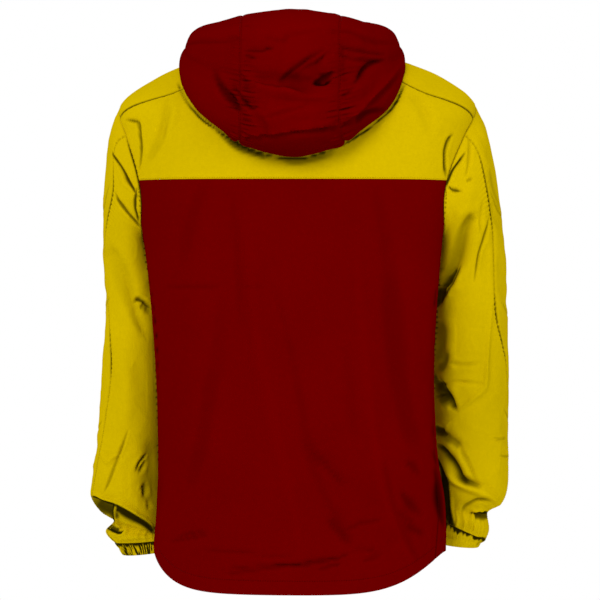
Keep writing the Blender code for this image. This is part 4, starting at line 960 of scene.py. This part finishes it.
ARMHOLE_DRAWN_BELOW, DRAWN_OVER = -0.125, 0.020  # the level under which the armhole seams pull hard
BODY_TONED_FROM, TONED_OVER = 0.3, 0.3  # how squarely the body faces back or front to show its painted shade
HEM_EDGE = 0.002  # over how much of its depth the hem grows thicker
BODY_UNEVEN, YOKE_UNEVEN = (0.0007, 0.055), (0.0004, 0.040)  # height and size
ARMHOLE_PULL = (0.12, 0.88), (0.22, 0.1)  # at the left and right: high up, and the rest low down
NECK_END = SHOULDER_SEAM[-1][0]  # the angle at which the shoulder seams reach the neck
FRONT_YOKES = ["front_yoke_left", "front_yoke_right"]
YOKE_ROW, ARMHOLE_ROW, SHOULDER_ROW, ZIP_ROW, SIDE_ROW = 0.0018, 0.0030, 0.0020, 0.0022, 0.0016


def armhole_strength(edge, by, points):
    """The armhole seams are drawn up hardest low down, and more so on the wearer's left."""
    if edge == "head":
        return 1.0
    low = rising(-points[..., 2], -ARMHOLE_DRAWN_BELOW, DRAWN_OVER)
    left, right = (high + more * low for high, more in ARMHOLE_PULL)
    return np.where(points[..., 0] > 0, left, right)


def torso_grid(places):
    angle, ring = places[..., 0], places[..., 1]
    return torso(angle, ring), outward(torso, angle, ring, NECK, -1)


def body_panel(name, made_of, foot, head, edges, rests_on, rows):
    """A lower panel, doubled where its hem is turned up."""
    smooth, normals = torso_grid(patch(foot, head, *edges))
    below = np.clip((HEM_DEPTH - lengths(smooth, 0)) / HEM_EDGE + 1, 0, 1)
    # Painted shade fades out where the body turns side on.
    squarely = rising(np.abs(normals[..., 1]), BODY_TONED_FROM, TONED_OVER)
    seams = {"foot": "hem", "head": "yoke", "first": "plain", "last": "plain"}
    sew(name, made_of, smooth, normals, seams, BODY_UNEVEN, rests_on, rows,
        wall=WALL + (HEM_WALL - WALL) * below, tone=lambda shade: shade * squarely)


def make_back(yellow, red):
    """The lower back panel and the yoke above it."""
    (right, _), (left, ring) = (map(float, armhole(side, BACK_YOKE_AT)) for side in (-1, 1))
    columns = (2 * SHOULDER_STEPS + NECK_STEPS) * BODY_ACROSS
    edges = [body_side(angle, BACK_YOKE_AT) for angle in (RIGHT_SIDE_SEAM, LEFT_SIDE_SEAM)]
    body_panel("back_body", red, level(RIGHT_SIDE_SEAM, LEFT_SIDE_SEAM, HEM, columns),
               level(right, left, ring, columns), edges, ["back_yoke"],
               (("foot", HEM_DEPTH), ("first", SIDE_ROW), ("last", SIDE_ROW)))

    shoulder, across = SHOULDER_STEPS * BACK_YOKE_ACROSS, NECK_STEPS * BACK_YOKE_ACROSS
    neck = level(-NECK_END, NECK_END, NECK, across)
    head = np.concatenate([shoulder_run(-1, shoulder), neck[1:], shoulder_run(1, shoulder)[::-1][1:]])
    up = BACK_ARMHOLE_STEPS * BACK_YOKE_UP
    edges = [hole_run(side, BACK_YOKE_AT, SHOULDER_SEAM_AT, up) for side in (-1, 1)]
    form = torso_grid(patch(level(right, left, ring, 2 * shoulder + across), head, *edges))
    seams = {"foot": "yoke", "head": "shoulder", "first": "armhole", "last": "armhole"}
    rows = ("foot", YOKE_ROW), ("first", ARMHOLE_ROW), ("last", ARMHOLE_ROW), ("head", SHOULDER_ROW)
    sew("back_yoke", yellow, *form, seams, YOKE_UNEVEN, FRONT_YOKES, rows, strength=armhole_strength)


def make_front(yellow, red):
    """The two front yokes, either side of the zip, and the lower front panel."""
    edge, ring = map(float, armhole(1, FRONT_YOKE_AT))
    steps, rise = SHOULDER_STEPS * FRONT_YOKE_ACROSS, FRONT_ARMHOLE_STEPS * FRONT_YOKE_UP
    seams = {"foot": "yoke", "head": "shoulder", "first": "zip", "last": "armhole"}
    rows = ("foot", YOKE_ROW), ("last", ARMHOLE_ROW), ("first", ZIP_ROW)
    for side, name, turn in ((1, "front_yoke_left", 0.0), (-1, "front_yoke_right", 360.0)):
        foot = level(float(front_angle(side * ZIP_HALF, ring)), side * edge + turn, ring, steps)
        up = np.linspace(ring, NECK, rise // 2 + 1)
        up = np.stack([front_angle(side * ZIP_HALF, up), up], axis=-1)
        neck = level(up[-1, 0], side * NECK_END + turn, NECK, rise // 2)
        hole = hole_run(side, FRONT_YOKE_AT - 360, SHOULDER_SEAM_AT, rise, turn)
        head = shoulder_run(side, steps, turn)[::-1]
        form = torso_grid(patch(foot, head, np.concatenate([up, neck[1:]]), hole))
        sew(name, yellow, *form, seams, YOKE_UNEVEN, ["back_yoke"], rows, strength=armhole_strength)

    stops = edge, *(float(front_angle(x, ring)) for x in (ZIP_HALF, -ZIP_HALF)), 360 - edge
    parts = (SHOULDER_STEPS, ZIP_STEPS, SHOULDER_STEPS)
    head = [level(edge, edge, ring, 0)]
    for start, end, steps in zip(stops, stops[1:], parts):
        head.append(level(start, end, ring, steps * FRONT_BODY_ACROSS)[1:])
    edges = [body_side(LEFT_SIDE_SEAM, FRONT_YOKE_AT), body_side(RIGHT_SIDE_SEAM, FRONT_YOKE_AT, 360.0)]
    hem = level(LEFT_SIDE_SEAM, 360 + RIGHT_SIDE_SEAM, HEM, sum(parts) * FRONT_BODY_ACROSS)
    body_panel("front_body", red, hem, np.concatenate(head), edges, FRONT_YOKES, (("foot", HEM_DEPTH),))


# The sleeves and their cuffs.

# Where along each sleeve its back seam is drawn up hard, and over what reach.
SLEEVE_DRAWN = {1: ((0.106, 0.040), (0.335, 0.030)), -1: ((0.092, 0.046), (0.290, 0.044))}
SLEEVE_PULL = 0.16  # how hard elsewhere
SLEEVE_SEAM_BEHIND = 2  # steps round the armhole from the shoulder seam back to the sleeve's
SLEEVE_UNEVEN = (0.0008, 0.030)
SLEEVE_SEAM_ROW = 0.0020
CREASES_BELOW, CREASES_ABOVE_END = 0.6, 0.3  # where a sleeve's creases begin and end, in sections
SHADOW, SHADOW_FROM, SHADOW_OVER = 0.35, 126, 30  # cloth close beside the body, in degrees round it


def sleeve_seam_strength(side):
    """How hard a sleeve's back seam is drawn up along its length, in metres from the armhole."""

    def strength(edge, by, points):
        if edge == "foot":
            return armhole_strength(edge, by, points)
        if edge == "head":
            return 1.0
        runs = SLEEVE_DRAWN[side]
        return SLEEVE_PULL + sum(np.exp(-(((by - middle) / reach) ** 4)) for middle, reach in runs)

    return strength


def make_sleeves(yellow, ruched):
    turns = (180, BACK_YOKE_AT, SHOULDER_SEAM_AT, FRONT_YOKE_AT - 360, -180)
    steps = (LOWER_ARMHOLE_STEPS, BACK_ARMHOLE_STEPS, FRONT_ARMHOLE_STEPS, LOWER_ARMHOLE_STEPS)
    runs = [np.linspace(start, end, number + 1)[1:] for start, end, number in zip(turns, turns[1:], steps)]
    whole = np.concatenate([turns[:1], *runs])
    seam_at = LOWER_ARMHOLE_STEPS + BACK_ARMHOLE_STEPS - SLEEVE_SEAM_BEHIND
    turn = whole[seam_at]
    for side, name, rows, seam, wrist in (
        (1, "left", LEFT_SLEEVE_ROWS, LEFT_BACK_SEAM, LEFT_WRIST),
        (-1, "right", RIGHT_SLEEVE_ROWS, RIGHT_BACK_SEAM, RIGHT_WRIST),
    ):
        end, surface = len(rows) - 1, sleeve(side, rows)
        for panel, start, stop in (("back", 0, seam_at), ("front", seam_at, len(whole) - 1)):
            round_it, upper, lower = SLEEVE_FINE[panel]
            places = start + edged((stop - start) * round_it) / round_it
            around = np.interp(places, np.arange(len(whole)), whole)
            section = np.concatenate([
                np.linspace(0, SLEEVE_BREAK, SLEEVE_UPPER_STEPS * upper + 1),
                np.linspace(SLEEVE_BREAK, end, SLEEVE_LOWER_STEPS * lower + 1)[1:],
            ])
            section = np.interp(edged(len(section) - 1), np.arange(len(section)), section)
            shift = along(np.array(seam) - seam[0], section)[:, None]
            share = np.where(around > turn, (180 - around) / (180 - turn), (around + 180) / (turn + 180))
            turned = around[None] + shift * share[None]
            down = np.broadcast_to(section[:, None], turned.shape)
            seams = {"foot": "armhole", "head": "cuff", "first": "plain", "last": "plain"}
            seams["last" if panel == "back" else "first"] = "sleeve"
            stitched, tone = (), None
            if panel == "back":
                shadow = SHADOW * rising(turned, SHADOW_FROM, SHADOW_OVER)
                stitched, tone = (("last", SLEEVE_SEAM_ROW),), lambda shade: np.maximum(shade, shadow)
            sew(f"sleeve_{panel}_{name}", yellow, surface(turned, down),
                outward(surface, turned, down, end, -side), seams, SLEEVE_UNEVEN,
                ["back_yoke", f"front_yoke_{name}"], stitched, tone=tone,
                free=rising(down, 0, CREASES_BELOW) * rising(-down, -end, CREASES_ABOVE_END),
                strength=sleeve_seam_strength(side))
        make_cuff(f"cuff_{name}", ruched, side, (rows[-1], wrist))


GATHERS, MORE_GATHERS, GATHER_HEIGHT = 61, 9, {1: 0.0024, -1: 0.0017}
CUFF_COLUMNS, CUFF_LINES, CUFF_TOP = 400, 18, 0.01
CUFF_WAIST, WAIST_HALF = 0.0012, 0.10  # how far its middle is drawn in, and over what share of it
SWAY_ROUND, SWAY_DOWN, KNOTS_ROUND, KNOTS_DOWN = 0.5, 0.9, 0.22, 2.6  # how unevenly they run
# The shares that the gathers, their splits and their knots have in its height and in its painted shade.
CUFF_HEIGHTS, CUFF_SHADE_SHARES = (0.35, 0.25, 0.75), (-0.4, -0.3, -1.0)
ENDS_LOW, BULGE_POWER = 0.35, 0.6  # how high the gathers still are at its ends
SMOOTHER, PALER, SMOOTH_FROM = 0.85, 0.95, 1.4  # the right cuff's back lies smoother, with less painted shade
# The painted shade between the gathers: its base and its contrast.
CUFF_SHADE_BASE, CONTRAST = 0.30, 1.9
TOP_DARK, TOP_DEPTH, TOP_KNOTS = 1.9, 0.14, 1.4  # a painted shadow along its top, under the sleeve above


def shared(parts, shares, start=0):
    """So much of each part, one after the other."""
    return sum((share * part for share, part in zip(shares, parts)), start)


def make_cuff(name, finish, side, rows):
    """An elastic wrist band whose cloth is drawn into short uneven upright gathers."""
    around, down = np.meshgrid(np.arange(CUFF_COLUMNS) * 360 / CUFF_COLUMNS,
                               np.linspace(CUFF_TOP, 1, CUFF_LINES))
    turn = np.radians(around)
    s, c = np.sin(turn), np.cos(turn)
    sway = SWAY_ROUND * np.sin(3 * turn) + SWAY_DOWN * np.sin(np.pi * down + 2 * turn)
    wave, split = np.sin(turn * GATHERS + sway), np.sin(turn * (GATHERS + MORE_GATHERS) + 4 * down)
    knot = drift(around * KNOTS_ROUND, down * KNOTS_DOWN, 1.0, SEEDS[name])
    smoother = np.clip(s * SMOOTH_FROM, 0, 1) if side < 0 else 0 * s
    bulge = np.sin(np.pi * np.clip(down, 0, 1)) ** BULGE_POWER
    lift = GATHER_HEIGHT[side] * shared((wave, split, knot), CUFF_HEIGHTS)
    lift = lift * (ENDS_LOW + (1 - ENDS_LOW) * bulge) * (1 - SMOOTHER * smoother)
    lift -= CUFF_WAIST * np.exp(-(((down - 0.5) / WAIST_HALF) ** 2))
    plain = oval(side, [start + (end - start) * down for start, end in zip(*rows)], s, c)
    normals = np.stack([side * c, s, 0 * c], axis=-1)
    outer = plain + normals * lift[..., None]
    # Painted shade down between the gathers, and a painted shadow along the top under the sleeve's edge.
    dark = shared((wave, split, knot), CUFF_SHADE_SHARES, CUFF_SHADE_BASE) * CONTRAST * (1.0 - PALER * smoother)
    top = TOP_DARK - down / TOP_DEPTH + TOP_KNOTS * knot
    shade = np.maximum(np.clip(dark, 0, DARKEST), np.clip(top, 0, DARKEST))
    made = cloth(name, finish, outer, normals, closed=True, shade=shade)
    around_wrist, deep = float(lengths(outer, 1)[:, -1].mean()), float(lengths(plain, 0)[-1].mean())


# The hood.

HOOD_DRAWN = ((0.150, 0.035, 1.5), (0.250, 0.03, 1.1))  # where along its seams, over what reach, how hard
HOOD_PULL = 0.7  # how hard elsewhere
HOOD_UNEVEN = (0.0008, 0.034)
CENTRE_MOST = 0.99  # the sine of the centre panel's half angle, where the hood is narrow
FACE_EDGE_ROW, HOOD_ROW = 0.018, 0.0022
REST_STEP, REST_RINGS = 3.0, 61  # how finely the body under the hood is divided, in degrees and rings


def resting(points, clearance):
    """The points raised to lie at least this far off the shoulders and the back."""
    rings = np.linspace(UNDERARM, NECK, REST_RINGS)
    angle, ring = np.meshgrid(np.arange(-180.0, 180.0, REST_STEP), rings)
    body = torso(angle, ring).reshape(-1, 3)
    normals = outward(torso, angle, ring, NECK, -1).reshape(-1, 3)
    tree = KDTree(len(body))
    for number, point in enumerate(body.tolist()):
        tree.insert(point, number)
    tree.balance()
    flat = points.reshape(-1, 3)
    nearest = np.array([tree.find(point)[1] for point in flat.tolist()])
    above = ((flat - body[nearest]) * normals[nearest]).sum(axis=1)
    lift = np.maximum(np.broadcast_to(clearance, points.shape[:-1]).reshape(-1) - above, 0)
    return points + (normals[nearest] * lift[:, None]).reshape(points.shape)


def throat_angle(x, station):
    """Where round the hood its throat is this far to the wearer's left, in degrees."""
    middle = hood(np.zeros(np.shape(station)), station)
    return np.degrees(np.arctan2(x - middle[..., 0], -middle[..., 1]))


def hood_strength(edge, by, points):
    """The hood's two long seams are drawn up hardest where they cross its folds."""
    if edge not in ("first", "last"):
        return 1.0
    return sum((hard * np.exp(-(((by - at) / reach) ** 2)) for at, reach, hard in HOOD_DRAWN), HOOD_PULL)


def make_hood(red):
    last = len(HOOD_ROWS) - 1.0
    station = np.linspace(0, last, HOOD_ROWS_FINE + 1)
    station = np.interp(edged(HOOD_ROWS_FINE), np.arange(HOOD_ROWS_FINE + 1), station)
    reach = hood(np.full(station.shape, 180.0), station)[:, 1]
    seam = 180 - np.degrees(np.arcsin(np.minimum(HOOD_CENTRE_HALF / reach, CENTRE_MOST)))
    left, right = throat_angle(ZIP_HALF, station), throat_angle(-ZIP_HALF, station)
    for name, start, end, steps, seams, stitched in (
        ("hood_left", left, seam, HOOD_SIDE_COLUMNS, ("zip", "hood"), ("last",)),
        ("hood_centre", seam, 360 - seam, HOOD_CENTRE_COLUMNS, ("hood", "hood"), ()),
        ("hood_right", 360 - seam, 360 + right, HOOD_SIDE_COLUMNS, ("hood", "zip"), ("first",)),
    ):
        around = start[:, None] + (end - start)[:, None] * (edged(steps) / steps)[None]
        down = np.broadcast_to(station[:, None], around.shape)
        normals = outward(hood, around, down, last, 1)
        clearance = HOOD_CLEARANCE * np.clip(down, 0, 1) * np.clip(HOOD_LIES_TO - down, 0, 1)
        smooth = resting(hood(around, down), clearance)
        smooth[0] += (0, 0, SEAM_GAP)
        seams = {"foot": "neck", "head": "edge", "first": seams[0], "last": seams[1]}
        sew(name, red, smooth, normals, seams, HOOD_UNEVEN, ["back_yoke"],
            (("head", FACE_EDGE_ROW), *((edge, HOOD_ROW) for edge in stitched)),
            held="folded", strength=hood_strength)


# The closed zip.

ZIP_YOKE_STEPS, ZIP_TOP_STATION = 8, 13.0
TAPE_COLUMNS, TAPE_STEPS, TEETH_STEPS = 8, 150, 600
TOOTH_PITCH, TOOTH_REACH, TOOTH_THICK = 0.0016, 0.0026, 0.00062
TOOTH_HEAD, TOOTH_TAIL = (1.15, 0.95), (0.8, 0.8)  # how thick each end is, as shares of the bar
TOOTH_OUT, TOOTH_ASIDE, TOOTH_STAGGER = 0.9, 0.38, 1.5  # in its thickness, reach and pitch


def zip_line(x):
    """The centre front at a distance to the wearer's left, from the front seam to the hood's throat."""
    ring = np.linspace(float(armhole(1, FRONT_YOKE_AT)[1]), NECK, ZIP_YOKE_STEPS + 1)
    station = np.arange(1.0, ZIP_TOP_STATION + 1, 2)
    return np.concatenate([torso(front_angle(x, ring), ring), hood(throat_angle(x, station) % 360, station)])


def tooth(side):
    """One coil tooth: a short bar across the tape with a rounded head past its middle."""
    bpy.ops.object.select_all(action="DESELECT")
    bpy.ops.mesh.primitive_cylinder_add(vertices=6, radius=TOOTH_THICK, depth=TOOTH_REACH,
                                        rotation=(0, math.pi / 2, 0))
    bar = bpy.context.object
    bpy.ops.object.transform_apply(location=True, rotation=True, scale=True)
    points = np.array([vert.co for vert in bar.data.vertices], np.float32)
    faces = [list(face.vertices) for face in bar.data.polygons]
    bpy.data.objects.remove(bar)
    points[:, 1:] *= np.where(points[:, :1] * side < 0, TOOTH_HEAD, TOOTH_TAIL)
    return points.astype(float), faces


def make_zip(tape, coil):
    forward = np.array([0.0, -1.0, 0.0])
    line = finer(zip_line(0.0), TEETH_STEPS)
    run = lengths(line, 0)
    for side, name in ((1, "left"), (-1, "right")):
        shares = np.linspace(0, 1, TAPE_COLUMNS + 1)
        columns = [finer(zip_line(side * share * (ZIP_HALF - SEAM_GAP / 2)), TAPE_STEPS) for share in shares]
        outer = np.stack(columns, axis=1)
        cloth(f"zip_tape_{name}", tape, outer, np.broadcast_to(forward, outer.shape))
        first = TOOTH_PITCH * (1 if side > 0 else TOOTH_STAGGER)
        at = np.arange(first, run[-1] - TOOTH_PITCH, TOOTH_PITCH)
        middles = read(at, run, line)
        points, faces = tooth(side)
        placed, joined = [], []
        for number, (middle, upward) in enumerate(zip(middles, unit(np.gradient(middles, axis=0)))):
            out = unit(np.cross(upward, (1.0, 0, 0)))
            out = out if out[1] < 0 else -out
            turned = points @ np.stack([(1.0, 0, 0), out, upward])
            aside = (side * TOOTH_REACH * TOOTH_ASIDE, 0, 0)
            placed.append(turned + middle + out * TOOTH_THICK * TOOTH_OUT + aside)
            joined += [[corner + number * len(points) for corner in face] for face in faces]
        teeth = link(f"zip_teeth_{name}", np.concatenate(placed), joined, coil)
        repair = bmesh.new()
        repair.from_mesh(teeth.data)
        bmesh.ops.recalc_face_normals(repair, faces=repair.faces)
        repair.to_mesh(teeth.data)
        repair.free()
        teeth.data.set_sharp_from_angle(angle=math.radians(TOOTH_CORNER))


# Finishes.

NODE_ACROSS, NODE_DOWN, GROUP_ACROSS = 220, -240, 3000  # how nodes are laid out


def settle(made, settings):
    """Fills the inputs that are named in settings, and sets the node's own values otherwise."""
    for key, value in settings.items():
        label = key.replace("_", " ")
        if label in made.inputs.keys():
            made.inputs[label].default_value = value
        else:
            setattr(made, key, value)
    return made


def node(tree, kind, **settings):
    made = tree.nodes.new(f"ShaderNode{kind}")
    number = len(tree.nodes)
    made.location = (number * NODE_ACROSS, number % 3 * NODE_DOWN)
    return settle(made, settings)


def maths(tree, operation, by=None, **settings):
    made = node(tree, "Math", operation=operation, **settings)
    if by is not None:
        made.inputs[1].default_value = by
    return made


def wire(tree, *wires):
    """Joins nodes: each wire is a node, its output, the next node and that one's input."""
    for source, output, target, place in wires:
        tree.links.new(source.outputs[output], target.inputs[place])


def new_material(name, **settings):
    """A material, its node tree and its surface shader with these inputs."""
    material = bpy.data.materials.new(name)
    material.use_nodes = True
    tree = material.node_tree
    return material, tree, settle(tree.nodes["Principled BSDF"], settings)


def new_group(name, inputs, outputs):
    """A shader node group with named sockets, and its own input and output nodes."""
    group = bpy.data.node_groups.new(name, "ShaderNodeTree")
    for direction, sockets in (("INPUT", inputs), ("OUTPUT", outputs)):
        for label, kind in sockets.items():
            group.interface.new_socket(label, in_out=direction, socket_type=f"NodeSocket{kind}")
    source, result = group.nodes.new("NodeGroupInput"), group.nodes.new("NodeGroupOutput")
    result.location = (GROUP_ACROSS, 0)
    return group, source, result


def make_weave_group():
    """Plain-woven nylon: the depth of its dye, its threads and its small dry crinkles."""
    group, source, result = new_group(
        "nylon_weave",
        {"Cut": "Vector", "Place": "Vector", "Threads a metre": "Float", "Crinkles a metre": "Float"},
        {"Dye": "Float", "Threads": "Float", "Crinkles": "Float"},
    )
    broad = node(group, "TexNoise", Scale=9.0, Detail=3.0, Roughness=0.55)
    fine = node(group, "TexNoise", Scale=170.0, Detail=4.0, Roughness=0.6)
    small = node(group, "TexNoise", Detail=5.0, Roughness=0.5, Distortion=1.2)
    fine_share, dye = maths(group, "MULTIPLY", 0.45), maths(group, "MULTIPLY_ADD", 0.55)
    turns, crossed = maths(group, "MULTIPLY", 0.05), maths(group, "MULTIPLY")
    wire(
        group, (source, "Place", broad, "Vector"), (source, "Place", fine, "Vector"),
        (fine, "Fac", fine_share, 0), (broad, "Fac", dye, 0), (fine_share, 0, dye, 2),
        (dye, 0, result, "Dye"), (source, "Threads a metre", turns, 0), (crossed, 0, result, "Threads"),
        (source, "Place", small, "Vector"), (source, "Crinkles a metre", small, "Scale"),
        (small, "Fac", result, "Crinkles"),
    )
    for number, direction in enumerate("XY"):
        threads = node(group, "TexWave", wave_type="BANDS", wave_profile="SIN",
                       bands_direction=direction, Distortion=0.6, Detail=1.0)
        wire(group, (source, "Cut", threads, "Vector"), (turns, 0, threads, "Scale"),
             (threads, "Fac", crossed, number))
    return group


def make_painted_shade_group():
    """Painted shade down in the cloth's creases and along its seams, and a painted highlight on crests."""
    group, source, result = new_group(
        "painted_crease_shade", {"Color": "Color", "Deepest": "Color", "Crest": "Color"}, {"Color": "Color"},
    )
    shade = node(group, "Attribute", attribute_name="shade")
    painted_highlight = maths(group, "MULTIPLY", -1.0, use_clamp=True)
    deep, lit = node(group, "Mix", data_type="RGBA"), node(group, "Mix", data_type="RGBA")
    wire(
        group, (shade, "Fac", deep, "Factor"), (source, "Color", deep, 6), (source, "Deepest", deep, 7),
        (shade, "Fac", painted_highlight, 0), (painted_highlight, 0, lit, "Factor"), (deep, 2, lit, 6), (source, "Crest", lit, 7),
        (lit, 2, result, "Color"),
    )
    return group


GROUPS = {}
DYE_RANGE = (0.36, 0.64)  # between these depths of dye the colour goes from palest to fullest
SHADED_SHARE, HIGHLIT_SHARE = 0.02, 1.5  # the colour of the painted shade in the deepest crease and of the painted highlight on a crest, as shares of its own
CRINKLES, THREADS = 75.0, 2400.0  # a metre
GLOSS_SPREAD = 0.06  # how far its roughness varies either way


def tinted(colour, share):
    return (*(min(channel * share, 1) for channel in colour), 1)


def woven(name, colour, spread, rough, specular, crinkle, threads=THREADS):
    """A material of woven nylon in one colour, its dye lighter and darker by a small share."""
    material, tree, shader = new_material(name, Specular_IOR_Level=specular, Specular_Tint=(*colour, 1))
    cut, place, ramp = node(tree, "UVMap", uv_map="cut"), node(tree, "TexCoord"), node(tree, "ValToRGB")
    weave = node(tree, "Group", node_tree=GROUPS["weave"], Threads_a_metre=threads,
                 Crinkles_a_metre=CRINKLES)
    for element, at, share in zip(ramp.color_ramp.elements, DYE_RANGE, (1 - spread, 1 + spread)):
        element.position, element.color = at, tinted(colour, share)
    # Painted shade in creases and along seams, and painted highlights on crests, from each piece's shade.
    creases = node(tree, "Group", node_tree=GROUPS["crease"], Deepest=tinted(colour, SHADED_SHARE),
                   Crest=tinted(colour, HIGHLIT_SHARE))
    gloss = node(tree, "MapRange", To_Min=rough - GLOSS_SPREAD, To_Max=rough + GLOSS_SPREAD)
    weave_bump = node(tree, "Bump", Strength=0.35, Distance=0.00012)
    crinkle_bump = node(tree, "Bump", Strength=crinkle, Distance=0.0012)
    wire(
        tree, (cut, "UV", weave, "Cut"), (place, "Object", weave, "Place"), (weave, "Dye", ramp, "Fac"),
        (ramp, "Color", creases, "Color"), (creases, "Color", shader, "Base Color"),
        (weave, "Threads", gloss, "Value"), (gloss, "Result", shader, "Roughness"),
        (weave, "Threads", weave_bump, "Height"), (weave, "Crinkles", crinkle_bump, "Height"),
        (weave_bump, "Normal", crinkle_bump, "Normal"), (crinkle_bump, "Normal", shader, "Normal"),
    )
    return material


def metal(name, colour, rough):
    """Cast zip metal, lightly tumbled, with small scratches."""
    material, tree, shader = new_material(name, Base_Color=(*colour, 1), Metallic=1.0)
    place, scuffs = node(tree, "TexCoord"), node(tree, "TexNoise", Scale=900.0, Detail=4.0, Roughness=0.6)
    gloss = node(tree, "MapRange", To_Min=rough - 0.08, To_Max=rough + 0.12)
    bump = node(tree, "Bump", Strength=0.15, Distance=0.0001)
    wire(
        tree, (place, "Object", scuffs, "Vector"), (scuffs, "Fac", gloss, "Value"),
        (gloss, "Result", shader, "Roughness"), (scuffs, "Fac", bump, "Height"),
        (bump, "Normal", shader, "Normal"),
    )
    return material


# The floor, the light and the camera.

FLOOR_PLACE, FLOOR_RADIUS = (0, 0, -1.0), 1.6
LIT_AT = (0, 0, -0.35)
LAMPS = (  # name, place, width and power in watts
    ("key", (0.8, 2.7, 1.1), 1.2, 47), ("side", (-2.2, 1.4, 0.4), 1.4, 14),
    ("front_key", (-0.8, -2.4, 1.4), 1.2, 40), ("front_side", (2.2, -1.2, 0.3), 1.4, 14),
)
AMBIENT = 0.50
SENSOR = 36.0


def make_floor():
    bpy.ops.mesh.primitive_circle_add(vertices=96, radius=FLOOR_RADIUS, fill_type="NGON",
                                      location=FLOOR_PLACE)
    floor = bpy.context.object
    floor.name = "floor"
    material, _, _ = new_material("pale_floor", Base_Color=(0.86, 0.86, 0.86, 1), Roughness=0.9)
    floor.data.materials.append(material)


def make_light():
    """Four lamps and an even light all round, with a white backdrop for the camera only."""
    world = bpy.data.worlds.new("studio")
    bpy.context.scene.world = world
    world.use_nodes = True
    tree = world.node_tree
    tree.nodes.clear()
    paper, fill = (node(tree, "Background", Color=(1, 1, 1, 1), Strength=power) for power in (1.0, AMBIENT))
    path, mix, out = (node(tree, kind) for kind in ("LightPath", "MixShader", "OutputWorld"))
    wire(
        tree, (path, "Is Camera Ray", mix, "Fac"), (fill, "Background", mix, 1),
        (paper, "Background", mix, 2), (mix, "Shader", out, "Surface"),
    )
    for name, place, size, power in LAMPS:
        data = bpy.data.lights.new(name, "AREA")
        data.shape, data.size, data.energy = "DISK", size, power
        lamp = bpy.data.objects.new(name, data)
        lamp.location = place
        lamp.rotation_euler = (Vector(LIT_AT) - Vector(place)).to_track_quat("-Z", "Y").to_euler()
        bpy.context.scene.collection.objects.link(lamp)


def make_camera():
    data = bpy.data.cameras.new("camera")
    data.sensor_width, data.lens = SENSOR, SENSOR * EYE_DISTANCE / VIEW_WIDTH
    data.clip_start, data.clip_end = 0.05, 20
    made = bpy.data.objects.new("camera", data)
    made.location = (EYE_X, EYE_DISTANCE, EYE_Z)
    made.rotation_euler = (math.pi / 2, 0, math.pi)
    bpy.context.scene.collection.objects.link(made)
    bpy.context.scene.camera = made


def main():
    bpy.context.scene.view_settings.view_transform = "Standard"
    make_camera()
    GROUPS["weave"], GROUPS["crease"] = make_weave_group(), make_painted_shade_group()
    # Colour, how far its dye varies, roughness, shine, crinkles and threads a metre.
    yellow = woven("yellow_nylon_cloth", (0.63, 0.445, 0.0), 0.045, 0.78, 0.0, 0.5)
    ruched = woven("ruched_yellow_cloth", (0.62, 0.44, 0.0), 0.06, 0.78, 0.0, 0.7)
    red = woven("dark_red_nylon_cloth", (0.139, 0.0, 0.0), 0.05, 0.80, 0.0, 0.5)
    yellow_thread = woven("yellow_thread", (0.50, 0.35, 0.0), 0.08, 0.65, 0.15, 0.2, 5000.0)
    red_thread = woven("dark_red_thread", (0.10, 0.0, 0.0), 0.08, 0.65, 0.10, 0.2, 5000.0)
    tape = woven("zip_tape_cloth", (0.06, 0.012, 0.012), 0.12, 0.75, 0.25, 0.2, 1600.0)
    coil = woven("zip_coil", (0.05, 0.010, 0.010), 0.10, 0.38, 0.5, 0.0, 1600.0)
    steel = metal("zip_metal", (0.35, 0.33, 0.30), 0.34)
    yellow, red = (yellow, "yellow_nylon", YELLOW_THREAD), (red, "dark_red_nylon", RED_THREAD)
    make_back(yellow, red)
    make_front(yellow, red)
    make_sleeves(yellow, ruched)
    make_hood(red)
    make_zip(tape, coil)
    YELLOW_THREAD.sewn("yellow_stitching", yellow_thread, "yellow_nylon")
    RED_THREAD.sewn("dark_red_stitching", red_thread, "dark_red_nylon")
    for name in ("zip_slider", "zip_pull"):
        for slot in bpy.data.objects[name].material_slots:
            slot.material = steel
    make_floor()
    make_light()


main()
